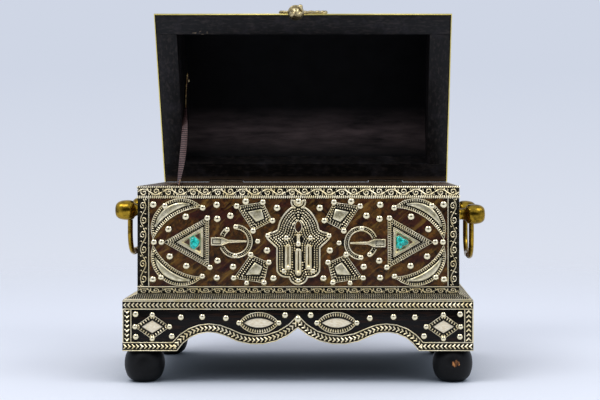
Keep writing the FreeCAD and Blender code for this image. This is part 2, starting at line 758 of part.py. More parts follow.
def hinges():
    """Two leaf hinges on the rear faces, each with one knuckle of the case leaf and one of the lid leaf."""
    case_leaves, lid_leaves, pins = [], [], []
    back = half_d + hinge_leaf_thickness
    relief = knuckle_radius + soft_gap
    for centre in hinge_centres():
        low, high = centre - hinge_length / 2, centre + hinge_length / 2
        start, end = Vector(low, half_d, axis_z), Vector(high, half_d, axis_z)
        middle = Vector(centre, half_d, axis_z)
        bore = rod(hinge_pin_radius + hole_gap, start, end)
        gap = Vector(soft_gap / 2, 0, 0)
        split = centre - soft_gap / 2
        case_leaf = box(low, split, half_d, back, axis_z - hinge_leaf_height, axis_z - 1)
        rest = box(split, high, half_d, back, axis_z - hinge_leaf_height, axis_z - relief)
        case_leaf = case_leaf.fuse(rest)
        case_leaf = case_leaf.fuse(rod(knuckle_radius, start, middle - gap)).cut(bore)
        split = centre + soft_gap / 2
        lid_leaf = slope_slab(1, hinge_leaf_height, 0, hinge_leaf_thickness, split, high)
        rest = slope_slab(relief, hinge_leaf_height, 0, hinge_leaf_thickness, low, split)
        lid_leaf = lid_leaf.fuse(rest)
        lid_leaf = lid_leaf.fuse(rod(knuckle_radius, middle + gap, end)).cut(bore)
        case_leaves.append(case_leaf.removeSplitter().Solids[0])
        lid_leaves.append(opened(lid_leaf.removeSplitter().Solids[0]))
        pins.append(rod(hinge_pin_radius, start, end))
    parts["hinge_case_leaves"] = case_leaves
    parts["hinge_lid_leaves"] = lid_leaves
    parts["hinge_pins"] = pins


def vault_point(radius, angle, x=0.0):
    """A point of the closed vault: angle 0 is the crown, positive towards the rear."""
    return Vector(x, radius * math.sin(angle), vault_z + radius * math.cos(angle))


def vault_band(inner, outer, start, end, x0, x1):
    """A length of the vault between two radii and two angles, from x0 to x1."""
    middle = (start + end) / 2
    edges = [arc(vault_point(outer, start, x0), vault_point(outer, middle, x0), vault_point(outer, end, x0)),
             line(vault_point(outer, end, x0), vault_point(inner, end, x0)),
             arc(vault_point(inner, end, x0), vault_point(inner, middle, x0), vault_point(inner, start, x0)),
             line(vault_point(inner, start, x0), vault_point(outer, start, x0))]
    return Part.Face(Part.Wire(edges)).extrude(Vector(x1 - x0, 0, 0)).Solids[0]


def lid_boards():
    inner_top = Vector(-core_w, inner_d, vault_z + inner_d * math.tan(lean))
    outside = [slope_point(up, -strip_thickness, -core_w) for up in (0, lid_rail_height)]
    section = outside + [inner_top, Vector(-core_w, inner_d, lid_base)]
    rear = Part.Face(polygon(section)).extrude(Vector(2 * core_w, 0, 0)).Solids[0]
    parts["lid_front_rail"] = [opened(mirror_y(rear))]
    parts["lid_rear_rail"] = [opened(rear.cut(hinge_notches()).Solids[0])]
    foot_point = vault_point(stave_inner, vault_half_angle)
    corners = [(inner_d, lid_base), (inner_d, inner_top.z), (foot_point.y, foot_point.z)]
    right = [Vector(inner_w, y, z) for y, z in corners]
    left = [Vector(inner_w, -y, z) for y, z in reversed(corners)]
    crown = vault_point(stave_inner, 0, inner_w)
    edges = [line(right[0], right[1]), line(right[1], right[2]), arc(right[2], crown, left[0])]
    edges += [line(left[0], left[1]), line(left[1], left[2]), line(left[2], right[0])]
    end = Part.Face(Part.Wire(edges)).extrude(Vector(core_w - inner_w, 0, 0))
    parts["lid_right_end"] = [opened(end)]
    parts["lid_left_end"] = [opened(mirror_x(end))]
    staves = []
    step = 2 * vault_half_angle / stave_count
    for k in range(stave_count):
        start = -vault_half_angle + k * step
        staves.append(opened(vault_band(stave_inner, stave_outer, start, start + step, -core_w, core_w)))
    parts["lid_staves"] = staves


def lid_cladding():
    """Metal strips round the rim and over the ends of the vault, and the brown field between them."""
    rim = slope_slab(0, top_strip, -strip_thickness, 0, -half_w, half_w)
    corner = slope_slab(top_strip, lid_rail_height, -strip_thickness, 0, field_left, half_w)
    foot, head = [slope_point(up, -strip_thickness, core_w) for up in (0, top_strip)]
    band = polygon([foot, head, mirror_y(Part.Vertex(head)).Point, mirror_y(Part.Vertex(foot)).Point])
    end = Part.Face(band).extrude(Vector(strip_thickness, 0, 0)).Solids[0]
    bow = vault_band(stave_outer, vault_radius, -vault_half_angle, vault_half_angle, field_left, half_w)
    corners = [corner, mirror_x(corner)]
    front = [mirror_y(s) for s in [rim] + corners]
    rear = [rim.cut(hinge_notches()).Solids[0]] + corners
    strips = front + rear + [end, mirror_x(end), bow, mirror_x(bow)]
    parts["lid_strips"] = [opened(s) for s in strips]
    face = field_thickness - strip_thickness
    low = slope_slab(top_strip, lid_rail_height, -strip_thickness, face, -field_left, field_left)
    skin = stave_outer + field_thickness
    top = vault_band(stave_outer, skin, -vault_half_angle, vault_half_angle, -field_left, field_left)
    a = mirror_y(Part.Vertex(head)).Point
    c, d = [vault_point(stave_outer, s * vault_half_angle, core_w) for s in (1, -1)]
    crown = vault_point(stave_outer, 0, core_w)
    tympanum = Part.Wire([line(a, head), line(head, c), arc(c, crown, d), line(d, a)])
    cheek = Part.Face(tympanum).extrude(Vector(field_thickness, 0, 0))
    parts["lid_fields"] = [opened(s) for s in (low, mirror_y(low), top, cheek, mirror_x(cheek))]


def lid_nails():
    """Nails in rows along the front rail and over the vault."""
    nails = []
    front_row = 7
    pitch = 2 * field_left / (front_row + 1)
    up = (top_strip + lid_rail_height) / 2
    for k in range(front_row):
        place = slope_point(up, field_thickness - strip_thickness, -field_left + pitch * (k + 1))
        if abs(place.x) > pull_width / 2 + field_nail_radius:
            head = nail(nail_head_radius)
            head.rotate(Vector(0, 0, 0), Vector(1, 0, 0), lid_lean - 90)
            head.translate(place)
            nails.append(opened(mirror_y(head)))
    for share in (-0.75, 0.0, 0.75):
        for k in range(5):
            head = nail(nail_head_radius)
            head.translate(Vector(0, 0, stave_outer + field_thickness))
            head.rotate(Vector(0, 0, 0), Vector(1, 0, 0), -math.degrees(share * vault_half_angle))
            head.translate(Vector((k - 2) * field_left / 2.5, 0, vault_z))
            nails.append(opened(head))
    parts["lid_nails"] = nails


pull_pivot_out = 4.4
pull_ear = 2.4
pull_eye = 5.0
pull_pin_radius = 1.2
pull_ear_half = 2.2
side_gap = 0.15


def pull():
    """An oval plate on the lid's front slope with two ears, and a bud on a pin between them."""
    z = lid_base + pull_pivot_height
    back = -half_d
    rim, across = Vector(0, back, lid_base), Vector(1, 0, 0)
    turns = [math.pi * k / 10 for k in range(20)]
    middle_z = lid_base + pull_height / 2 + 0.6
    oval = [Vector(math.cos(t) * pull_width / 2, 0, middle_z + math.sin(t) * pull_height / 2) for t in turns]
    base = plate([polygon(oval)], half_d, plate_thickness)
    pivot_y = back - pull_pivot_out
    for s in (-1, 1):
        near = pull_offset + s * (pull_eye / 2 + side_gap)
        far = near + s * pull_ear
        x0, x1 = sorted((near, far))
        low, high = z - pull_ear_half, z + pull_ear_half
        ear = box(x0, x1, pivot_y - pull_ear_half, back - plate_thickness / 2, low, high)
        base = base.fuse(ear)
    reach = pull_eye / 2 + side_gap + pull_ear
    pin_ends = [Vector(pull_offset + s * reach, pivot_y, z) for s in (-1, 1)]
    past = Vector(1, 0, 0)
    base = base.cut(rod(pull_pin_radius + hole_gap, pin_ends[0] - past, pin_ends[1] + past))
    base = base.removeSplitter().Solids[0]
    base.rotate(rim, across, -lid_lean)
    parts["pull_plate"] = [opened(base)]
    r = pull_bud_diameter / 2
    bud_z = lid_base - pull_bud_below_rim
    bud_y = back - bud_gap - r
    eye = turned_stud([(pull_ear_half, -pull_eye / 2), (pull_ear_half, pull_eye / 2)], 8)
    eye.rotate(Vector(0, 0, 0), Vector(0, 1, 0), 90)
    eye.translate(Vector(pull_offset, pivot_y, z))
    eye = eye.fuse(rod(pull_pin_radius, pin_ends[0], pin_ends[1]))
    pin = Part.Vertex(pull_offset, pivot_y, z)
    for shape in (eye, pin):
        shape.rotate(rim, across, -lid_lean)
    pivot, middle = pin.Point, Vector(pull_offset, bud_y, bud_z)
    length = pivot.distanceToPoint(middle)
    rings = [(1.5, 0), (1.9, length - 1.15 * r), (0.62 * r, length - 0.85 * r), (0.95 * r, length - 0.35 * r),
             (r, length + 0.1 * r), (0.72 * r, length + 0.65 * r), (0.2 * r, length + 1.15 * r)]
    stem = turned_stud(rings, 10)
    tilt = math.degrees(math.atan2(middle.y - pivot.y, middle.z - pivot.z))
    stem.rotate(Vector(0, 0, 0), Vector(1, 0, 0), -tilt)
    stem.translate(pivot)
    parts["pull_drop"] = [opened(eye.fuse(stem).removeSplitter().Solids[0])]


def strap_anchors():
    """Where the strap is nailed, half way back on the left wall of the case and of the lid."""
    x = -inner_w + soft_gap + strap_thickness / 2
    low = Part.Vertex(x, 0, body_top - strap_anchor_below_rim)
    high = opened(Part.Vertex(x, 0, lid_base + strap_anchor_in_lid))
    return low.Point, high.Point


def strap():
    """A flat leather strap, drawn tight by the open lid: flat on the wood at its ends and bowed between."""
    low, high = strap_anchors()
    run = (high - low).normalize()
    wide = run.cross(Vector(1, 0, 0)) * (strap_width / 2)
    thin = Vector(strap_thickness / 2, 0, 0)
    start, end = low - run * strap_end, high + run * strap_end
    bow = Vector(strap_bow, 0, 0)
    third = (high - low) * (1 / 3)
    route = [start, low + run * strap_end, low + third + bow]
    route += [high - third + bow, high - run * strap_end, end]
    side = [p + thin for p in route] + [p - thin for p in reversed(route)]
    face = Part.Face(polygon([p - wide for p in side]))
    parts["lid_strap"] = [face.extrude(wide * 2).Solids[0]]
    for name, place in (("strap_case_tack", low), ("strap_lid_tack", high)):
        tack = nail(small_nail_radius)
        tack.rotate(Vector(0, 0, 0), Vector(0, 1, 0), 90)
        tack.translate(place + Vector(strap_thickness / 2 + soft_gap, 0, 0))
        parts[name] = [tack]


case_boards()
case_cladding()
crescents()
kites()
triangles()
brooches()
hand()
front_nails()
plinth()
top_board()
apron_ornament()
feet()
handles()
hinges()
lid_boards()
lid_cladding()
lid_nails()
pull()
strap()

os.makedirs("parts", exist_ok=True)
for name, solids in parts.items():
    shape = solids[0] if len(solids) == 1 else Part.makeCompound(solids)
    shape.exportStep("parts/" + name + ".step")
    size = shape.BoundBox
    print(name, len(solids), "valid" if shape.isValid() else "INVALID", round(shape.Volume, 1),
          [round(v, 1) for v in (size.XMin, size.XMax, size.YMin, size.YMax, size.ZMin, size.ZMax)])
print(len(parts), "nodes")
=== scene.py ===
import bmesh
import bpy
import json
import math
from mathutils import Matrix, Vector, noise


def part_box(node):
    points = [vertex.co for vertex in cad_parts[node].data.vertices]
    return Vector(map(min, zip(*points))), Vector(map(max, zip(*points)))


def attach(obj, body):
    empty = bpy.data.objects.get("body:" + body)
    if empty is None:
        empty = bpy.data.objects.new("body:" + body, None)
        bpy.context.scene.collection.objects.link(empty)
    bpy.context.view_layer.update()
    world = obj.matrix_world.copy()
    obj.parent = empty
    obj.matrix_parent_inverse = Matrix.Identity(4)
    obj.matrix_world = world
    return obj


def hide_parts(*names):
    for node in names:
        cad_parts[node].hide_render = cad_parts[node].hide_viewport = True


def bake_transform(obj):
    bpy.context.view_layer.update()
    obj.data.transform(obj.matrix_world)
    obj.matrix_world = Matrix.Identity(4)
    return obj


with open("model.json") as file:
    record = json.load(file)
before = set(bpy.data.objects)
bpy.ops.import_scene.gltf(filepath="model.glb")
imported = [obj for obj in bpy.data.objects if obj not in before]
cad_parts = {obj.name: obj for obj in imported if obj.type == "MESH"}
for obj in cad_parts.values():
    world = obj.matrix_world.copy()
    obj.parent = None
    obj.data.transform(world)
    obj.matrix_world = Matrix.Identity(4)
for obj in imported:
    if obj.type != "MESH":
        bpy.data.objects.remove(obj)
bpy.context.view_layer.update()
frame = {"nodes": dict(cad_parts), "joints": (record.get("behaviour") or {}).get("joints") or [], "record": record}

# Bun feet
# Turned wooden balls, flat above and below, glued under the corners of the plinth.
# Satin black paint, rubbed thin on the bulge and chipped to the orange wood in front.
mm = 0.001
foot_low, foot_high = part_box("bun_feet")
foot_height = foot_high.z - foot_low.z
foot_radius = 18.7 * mm
foot_sides = 56
# Shares of the radius and of the height, from the floor up.
foot_outline = [(0.42, 0.0), (0.60, 0.03), (0.84, 0.16), (0.97, 0.38), (1.0, 0.58), (0.95, 0.8),
                (0.79, 1.0)]
# Where the paint has come off, and about twice how far.
foot_chips = [(Vector((0.1455, -0.1062, 0.0185)), 6.4 * mm), (Vector((-0.135, -0.1005, 0.009)), 2.0 * mm)]


def linear(colour):
    """An sRGB hex colour as linear red, green, blue and alpha."""
    parts = [int(colour[i:i + 2], 16) / 255 for i in (1, 3, 5)]
    return [c / 12.92 if c < 0.04045 else ((c + 0.055) / 1.055)**2.4 for c in parts] + [1.0]


def add(tree, kind, inputs=None, **settings):
    """Adds one node with its settings, and sets or links its inputs by name or number.

    Of a colour mix, input 0 is the share of the second colour, and 6 and 7 are the two colours.
    Of a map range, 0 is the value, 1 and 2 are where it comes from, 3 and 4 where it goes to.
    Of a random value, 2 and 3 are the least and the most, and 8 is the seed.
    """
    node = tree.nodes.new(kind)
    for name, value in settings.items():
        setattr(node, name, value)
    for key, value in (inputs or {}).items():
        if isinstance(value, bpy.types.NodeSocket):
            tree.links.new(value, node.inputs[key])
        else:
            node.inputs[key].default_value = value
    return node


def new_finish(name, **constants):
    """A material with one shader; what is the same all over is set on the shader's own sockets."""
    material = bpy.data.materials.new(name)
    material.use_nodes = True
    shader = material.node_tree.nodes["Principled BSDF"]
    for socket, value in constants.items():
        shader.inputs[socket.replace("_", " ")].default_value = value
    place = add(material.node_tree, "ShaderNodeTexCoord").outputs["Object"]
    return material, material.node_tree, shader, place


def smooth_line(points, steps):
    """Points of a smooth line through the given ones, with a few steps between each two."""
    knots = [Vector(p) for p in points]
    line = []
    for i in range(len(knots) - 1):
        a, b, c, d = knots[max(i - 1, 0)], knots[i], knots[i + 1], knots[min(i + 2, len(knots) - 1)]
        for k in range(steps):
            t = k / steps
            bend = (2 * a - 5 * b + 4 * c - d) * t**2
            ease = (3 * b - a - 3 * c + d) * t**3
            line.append((2 * b + (c - a) * t + bend + ease) / 2)
    return line + [knots[-1]]


def skin(rings, sides, start=0):
    """Faces between rings of vertices that follow each other, each ring with the same number of sides."""
    faces = []
    for low in range(start, start + (rings - 1) * sides, sides):
        for k in range(sides):
            n = (k + 1) % sides
            faces.append((low + k, low + n, low + sides + n, low + sides + k))
    return faces


def capped(rings, sides):
    """The faces of a skin that is closed at both ends."""
    last = (rings - 1) * sides
    return skin(rings, sides) + [tuple(range(sides - 1, -1, -1)), tuple(range(last, last + sides))]


def turning(outline, sides):
    """Vertices and faces of a piece turned about Z, from pairs of radius and height."""
    verts = []
    for radius, height in outline:
        for k in range(sides):
            angle = math.tau * k / sides
            verts.append(Vector((radius * math.cos(angle), radius * math.sin(angle), height)))
    return verts, capped(len(outline), sides)


def gather(shapes):
    """Joins several (placement, (vertices, faces)) into one pair of vertices and faces."""
    verts, faces = [], []
    for placement, (points, sides) in shapes:
        start = len(verts)
        verts += [placement @ p for p in points]
        faces += [tuple(start + i for i in side) for side in sides]
    return verts, faces


def new_piece(name, shape, material, crease=40):
    """A mesh piece from vertices and faces, smooth but for edges sharper than the crease in degrees."""
    mesh = bpy.data.meshes.new(name)
    mesh.from_pydata(shape[0], [], shape[1])
    mesh.shade_smooth()
    mesh.set_sharp_from_angle(angle=math.radians(crease))
    mesh.materials.append(material)
    piece = bpy.data.objects.new(name, mesh)
    bpy.context.collection.objects.link(piece)
    return piece


def settle(piece, body, slot, *nodes):
    """Lets a piece ride on its body and stands it in for CAD nodes; the slot is not used."""
    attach(piece, body)
    if nodes:
        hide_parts(*nodes)


# Oil paint on turned wood: a satin sheen, dust in the tool marks, ragged chips down to the fibres.
foot_paint, tree, shader, place = new_finish("satin_black_paint", IOR=1.5, Specular_IOR_Level=0.2)
rubs = add(tree, "ShaderNodeTexNoise",
           {"Vector": place, "Scale": 1 / (7 * mm), "Detail": 7.0, "Roughness": 0.7})
worn = add(tree, "ShaderNodeMapRange", {0: rubs.outputs[0], 1: 0.5, 2: 0.8})
painted = add(tree, "ShaderNodeMix", {0: worn.outputs[0], 6: linear("#050505"), 7: linear("#161617")},
              data_type="RGBA")
upward = add(tree, "ShaderNodeMapping", {"Vector": place, "Scale": (1.6, 1.0, 0.5)})
ragged = add(tree, "ShaderNodeTexNoise",
             {"Vector": upward.outputs[0], "Scale": 1 / (2.2 * mm), "Detail": 4.0})
chipped = None
for chip, reach in foot_chips:
    away = add(tree, "ShaderNodeVectorMath", {0: place, 1: chip}, operation="DISTANCE")
    edge = add(tree, "ShaderNodeMath", {0: ragged.outputs[0], 1: reach}, operation="MULTIPLY")
    inside = add(tree, "ShaderNodeMath", {0: away.outputs["Value"], 1: edge.outputs[0]},
                 operation="LESS_THAN")
    chipped = inside if chipped is None else add(
        tree, "ShaderNodeMath", {0: chipped.outputs[0], 1: inside.outputs[0]}, operation="MAXIMUM")
fibres = add(tree, "ShaderNodeMapRange", {0: ragged.outputs[0], 1: 0.42, 2: 0.62})
wood = add(tree, "ShaderNodeMix", {0: fibres.outputs[0], 6: linear("#4a2a16"), 7: linear("#c98a52")},
           data_type="RGBA")
bare = add(tree, "ShaderNodeMix", {0: chipped.outputs[0], 6: painted.outputs[2], 7: wood.outputs[2]},
           data_type="RGBA")
sheen = add(tree, "ShaderNodeMapRange", {0: rubs.outputs[0], 1: 0.3, 2: 0.75, 3: 0.36, 4: 0.58})
bump = add(tree, "ShaderNodeBump", {"Height": rubs.outputs[0], "Distance": 0.15 * mm, "Strength": 0.5})
tree.links.new(bare.outputs[2], shader.inputs["Base Color"])
tree.links.new(sheen.outputs[0], shader.inputs["Roughness"])
tree.links.new(bump.outputs[0], shader.inputs["Normal"])

foot_curve = [(r * foot_radius, h * foot_height) for r, h in smooth_line(foot_outline, 5)]
foot_shape = turning(foot_curve, foot_sides)
foot_mounts = [m for m in frame["record"]["mounts"] if m["name"].startswith("foot_")]
foot_shapes = [(Matrix.Translation(m["pos_m"]), foot_shape) for m in foot_mounts]
feet = new_piece("turned_feet", gather(foot_shapes), foot_paint)
settle(feet, "case", "black_wood", "bun_feet")

# Plinth boards
# Four sawn aprons and the corner blocks behind them, under a bevelled board that carries the case.
# Dark stained hardwood, polished, with its outer edges sanded round.
board_ease = 0.5 * mm
weld = 0.002 * mm

# Stained hardwood: nearly black, with a reddish grain along each board where the light catches it.
apron_wood, tree, shader, place = new_finish("dark_polished_hardwood", IOR=1.5, Specular_IOR_Level=0.16)
along = add(tree, "ShaderNodeMapping", {"Vector": place, "Scale": (1.0, 1.0, 9.0)})
grain = add(tree, "ShaderNodeTexNoise", {"Vector": along.outputs[0], "Scale": 1 / (26 * mm), "Detail": 8.0,
                                         "Roughness": 0.62, "Distortion": 0.6})
reddish = add(tree, "ShaderNodeMapRange", {0: grain.outputs[0], 1: 0.5, 2: 0.78})
stained = add(tree, "ShaderNodeMix", {0: reddish.outputs[0], 6: linear("#080503"), 7: linear("#331a0c")},
              data_type="RGBA")
pores = add(tree, "ShaderNodeBump", {"Height": grain.outputs[0], "Distance": 0.2 * mm, "Strength": 0.35})
satin = add(tree, "ShaderNodeMapRange", {0: grain.outputs[0], 1: 0.3, 2: 0.8, 3: 0.2, 4: 0.36})
tree.links.new(stained.outputs[2], shader.inputs["Base Color"])
tree.links.new(satin.outputs[0], shader.inputs["Roughness"])
tree.links.new(pores.outputs[0], shader.inputs["Normal"])


def eased(name, node, width, material, segments=2):
    """A copy of a CAD piece with its sharp edges eased, as sandpaper or a file leaves them."""
    mesh = frame["nodes"][node].data.copy()
    work = bmesh.new()
    work.from_mesh(mesh)
    bmesh.ops.remove_doubles(work, verts=work.verts, dist=weld)
    bmesh.ops.dissolve_limit(work, angle_limit=math.radians(0.5), verts=work.verts, edges=work.edges)
    sharp = [e for e in work.edges if len(e.link_faces) == 2 and e.calc_face_angle() > math.radians(30)]
    bmesh.ops.bevel(work, geom=sharp, offset=width, segments=segments, profile=0.5, affect="EDGES",
                    clamp_overlap=True)
    work.to_mesh(mesh)
    work.free()
    mesh.materials.clear()
    mesh.materials.append(material)
    mesh.shade_smooth()
    mesh.set_sharp_from_angle(angle=math.radians(32))
    piece = bpy.data.objects.new(name, mesh)
    bpy.context.collection.objects.link(piece)
    return piece


def refinish(material, *nodes):
    """Gives CAD nodes that keep their shape a better material."""
    for node in nodes:
        mesh = frame["nodes"][node].data
        mesh.materials.clear()
        mesh.materials.append(material)


refinish(apron_wood, "foot_blocks", "plinth_top_board")
for side in ("front", "rear", "left", "right"):
    board = "plinth_" + side + "_apron"
    settle(eased(board + "_planed", board, board_ease, apron_wood), "case", "black_wood", board)

# Chevron strips of the plinth
# Thin nickel-silver strip nailed round each apron, pressed with a row of chevrons between two edge beads.
# The ground is blackened and the raised work is rubbed bright, so the pattern reads from far away.
chevron_pitch = 3.75 * mm
chevron_trim = 2.2 * mm
edge_bead = 0.48 * mm
# Each side of the box is turned to the front, where its strips are drawn.
turns = {"front": Matrix.Identity(4), "rear": Matrix.Rotation(math.pi, 4, "Z"),
         "right": Matrix.Rotation(-math.pi / 2, 4, "Z"), "left": Matrix.Rotation(math.pi / 2, 4, "Z")}

# Oxidised nickel silver: nearly black, a little warm, dull in the recesses.
dark_silver, tree, shader, place = new_finish("blackened_nickel_silver", Metallic=0.8)
stain = add(tree, "ShaderNodeTexNoise",
            {"Vector": place, "Scale": 1 / (5 * mm), "Detail": 5.0, "Roughness": 0.6})
patch = add(tree, "ShaderNodeMapRange", {0: stain.outputs[0], 1: 0.42, 2: 0.76})
tone = add(tree, "ShaderNodeMix", {0: patch.outputs[0], 6: linear("#0c0a07"), 7: linear("#3f3827")},
           data_type="RGBA")
dull = add(tree, "ShaderNodeMapRange", {0: stain.outputs[0], 1: 0.3, 2: 0.7, 3: 0.35, 4: 0.55})
tree.links.new(tone.outputs[2], shader.inputs["Base Color"])
tree.links.new(dull.outputs[0], shader.inputs["Roughness"])

# Rubbed nickel silver: pale, slightly yellow, with duller patches left by years of handling.
bright_silver, tree, shader, place = new_finish("rubbed_nickel_silver", Metallic=1.0)
stain = add(tree, "ShaderNodeTexNoise",
            {"Vector": place, "Scale": 1 / (11 * mm), "Detail": 5.0, "Roughness": 0.6})
patch = add(tree, "ShaderNodeMapRange", {0: stain.outputs[0], 1: 0.34, 2: 0.6})
tone = add(tree, "ShaderNodeMix", {0: patch.outputs[0], 6: linear("#eddcac"), 7: linear("#fff3d2")},
           data_type="RGBA")
rubbed = add(tree, "ShaderNodeMapRange", {0: stain.outputs[0], 1: 0.3, 2: 0.7, 3: 0.42, 4: 0.25})
tree.links.new(tone.outputs[2], shader.inputs["Base Color"])
tree.links.new(rubbed.outputs[0], shader.inputs["Roughness"])


def loop_area(loop):
    """Area inside an outline that faces the front: positive when it runs anticlockwise."""
    return sum(a.x * b.z - b.x * a.z for a, b in zip(loop, loop[1:] + loop[:1])) / 2


def front_outlines(node, turn):
    """Outlines of the flat faces that look to the front once a CAD node is turned, a list for each solid.

    They run anticlockwise round metal and clockwise round a window, the largest first. The triangles of
    a solid follow each other, and its skin is closed once no edge is left open.
    """
    mesh = frame["nodes"][node].data
    found, open_edges, faced, spots = [], set(), set(), {}
    for side in mesh.polygons:
        ring = [turn @ mesh.vertices[v].co for v in side.vertices]
        keys = [tuple(round(c / weld) for c in p) for p in ring]
        spots.update(zip(keys, ring))
        for a, b in zip(keys, keys[1:] + keys[:1]):
            open_edges ^= {(b, a)} if (b, a) in open_edges else {(a, b)}
            if (turn.to_3x3() @ side.normal).y < -0.999:
                faced.add((a, b))
        if open_edges:
            continue
        following = {a: b for a, b in faced if (b, a) not in faced}
        loops = []
        while following:
            loop, here = [], min(following)
            while here in following:
                loop.append(spots[here])
                here = following.pop(here)
            loops.append(loop)
        if loops:
            found.append(sorted(loops, key=lambda loop: -abs(loop_area(loop))))
        faced = set()
    return found


def path_mesh(paths):
    """A mesh of lines for the node trees, each with its points, outward direction, scale of copies and
    whether it is closed."""
    mesh = bpy.data.meshes.new("paths")
    verts, edges, outward, span = [], [], [], []
    for points, out, scale, closed in paths:
        start = len(verts)
        verts += points
        outward += out if isinstance(out, list) else [out] * len(points)
        span += scale if isinstance(scale, list) else [scale] * len(points)
        edges += [(start + i, start + i + 1) for i in range(len(points) - 1)]
        edges += [(start + len(points) - 1, start)] if closed else []
    mesh.from_pydata(verts, edges, [])
    for name, values in (("outward", outward), ("span", span)):
        layer = mesh.attributes.new(name, "FLOAT_VECTOR", "POINT")
        layer.data.foreach_set("vector", [c for v in values for c in v])
    return mesh


def new_tree(name, sizes):
    """An empty node tree with a geometry input, named inputs, and its two end nodes."""
    tree = bpy.data.node_groups.new(name, "GeometryNodeTree")
    tree.interface.new_socket("Geometry", in_out="INPUT", socket_type="NodeSocketGeometry")
    for label, kind in sizes.items():
        tree.interface.new_socket(label, in_out="INPUT", socket_type="NodeSocket" + kind)
    tree.interface.new_socket("Geometry", in_out="OUTPUT", socket_type="NodeSocketGeometry")
    return tree, add(tree, "NodeGroupInput"), add(tree, "NodeGroupOutput")


def end_tree(tree, start, end, geometry):
    """Closes a node tree: copies become real and take the finish."""
    whole = add(tree, "GeometryNodeRealizeInstances", {"Geometry": geometry})
    done = add(tree, "GeometryNodeSetMaterial",
               {"Geometry": whole.outputs[0], "Material": start.outputs["Finish"]})
    tree.links.new(done.outputs[0], end.inputs[0])
    return tree


def struck_marks():
    """Copies of one punch mark at an even pitch along paths, a little uneven, as a hand holds the punch."""
    sizes = {"Pitch": "Float", "Mark": "Object", "Uneven": "Float", "Finish": "Material"}
    tree, start, end = new_tree("struck_marks", sizes)
    line = add(tree, "GeometryNodeMeshToCurve", {"Mesh": start.outputs["Geometry"]})
    spots = add(tree, "GeometryNodeCurveToPoints",
                {"Curve": line.outputs[0], "Length": start.outputs["Pitch"]}, mode="LENGTH")
    outward = add(tree, "GeometryNodeInputNamedAttribute", {"Name": "outward"}, data_type="FLOAT_VECTOR")
    span = add(tree, "GeometryNodeInputNamedAttribute", {"Name": "span"}, data_type="FLOAT_VECTOR")
    turn = add(tree, "FunctionNodeAxesToRotation", {0: outward.outputs[0], 1: spots.outputs["Tangent"]},
               primary_axis="Z", secondary_axis="X")
    least = add(tree, "ShaderNodeMath", {0: 1.0, 1: start.outputs["Uneven"]}, operation="SUBTRACT")
    chance = add(tree, "FunctionNodeRandomValue", {2: least.outputs[0], 3: 1.0, 8: 7}, data_type="FLOAT")
    size = add(tree, "ShaderNodeVectorMath", {0: span.outputs[0], "Scale": chance.outputs[1]},
               operation="SCALE")
    mark = add(tree, "GeometryNodeObjectInfo", {"Object": start.outputs["Mark"]})
    copies = add(tree, "GeometryNodeInstanceOnPoints", {
        "Points": spots.outputs["Points"], "Instance": mark.outputs["Geometry"],
        "Rotation": turn.outputs[0], "Scale": size.outputs[0]})
    return end_tree(tree, start, end, copies.outputs[0])


def drawn_wire():
    """A round wire along paths, half sunk in the face that it lies on."""
    tree, start, end = new_tree("drawn_wire", {"Radius": "Float", "Sides": "Int", "Finish": "Material"})
    line = add(tree, "GeometryNodeMeshToCurve", {"Mesh": start.outputs["Geometry"]})
    ring = add(tree, "GeometryNodeCurvePrimitiveCircle", {"Resolution": start.outputs["Sides"],
                                                          "Radius": start.outputs["Radius"]})
    wire = add(tree, "GeometryNodeCurveToMesh", {"Curve": line.outputs[0], "Profile Curve": ring.outputs[0],
                                                 "Fill Caps": True})
    smooth = add(tree, "GeometryNodeSetShadeSmooth", {"Geometry": wire.outputs[0]})
    return end_tree(tree, start, end, smooth.outputs[0])


def grow(name, paths, tree, **sizes):
    """Runs a node tree over paths or points and keeps the result as a plain mesh."""
    layout = bpy.data.objects.new(name + "_layout", path_mesh(paths))
    bpy.context.collection.objects.link(layout)
    modifier = layout.modifiers.new("grow", "NODES")
    modifier.node_group = tree
    for item in tree.interface.items_tree:
        if item.in_out == "INPUT" and item.name in sizes:
            modifier[item.identifier] = sizes[item.name]
    ready = layout.evaluated_get(bpy.context.evaluated_depsgraph_get())
    mesh = bpy.data.meshes.new_from_object(ready)
    bpy.data.objects.remove(layout)
    piece = bpy.data.objects.new(name, mesh)
    bpy.context.collection.objects.link(piece)
    return piece


def ridge(points, width, height):
    """Vertices and faces of a raised line with a sharp back, in the XY plane."""
    verts, faces = [], []
    for i, p in enumerate(points):
        ahead = points[min(i + 1, len(points) - 1)] - points[max(i - 1, 0)]
        across = Vector((-ahead.y, ahead.x, 0)).normalized() * width / 2
        taper = 0.5 if i in (0, len(points) - 1) else 1.0
        verts += [p + across * taper, p + Vector((0, 0, height * taper)), p - across * taper]
    for k in range(0, 3 * (len(points) - 1), 3):
        faces += [(k, k + 1, k + 4, k + 3), (k + 1, k + 2, k + 5, k + 4)]
    faces += [(0, 2, 1), tuple(3 * len(points) - 3 + i for i in (0, 1, 2))]
    return verts, faces


def flat(x, y):
    """A point of a punch mark, drawn in the XY plane in millimetres."""
    return Vector((x * mm, y * mm, 0))


def punch(name, shapes):
    """An object that the node trees copy; it isn't a piece itself and goes away at the end."""
    mark = new_piece(name, gather([(Matrix.Identity(4), s) for s in shapes]), bright_silver, 60)
    punches.append(mark)
    bpy.context.collection.objects.unlink(mark)
    return mark


def laid(turn, points, scale=(1, 1, 1), closed=False):
    """A path drawn facing the front, turned back to the side that it belongs to."""
    back = turn.inverted()
    return [back @ p for p in points], back.to_3x3() @ Vector((0, -1, 0)), Vector(scale), closed


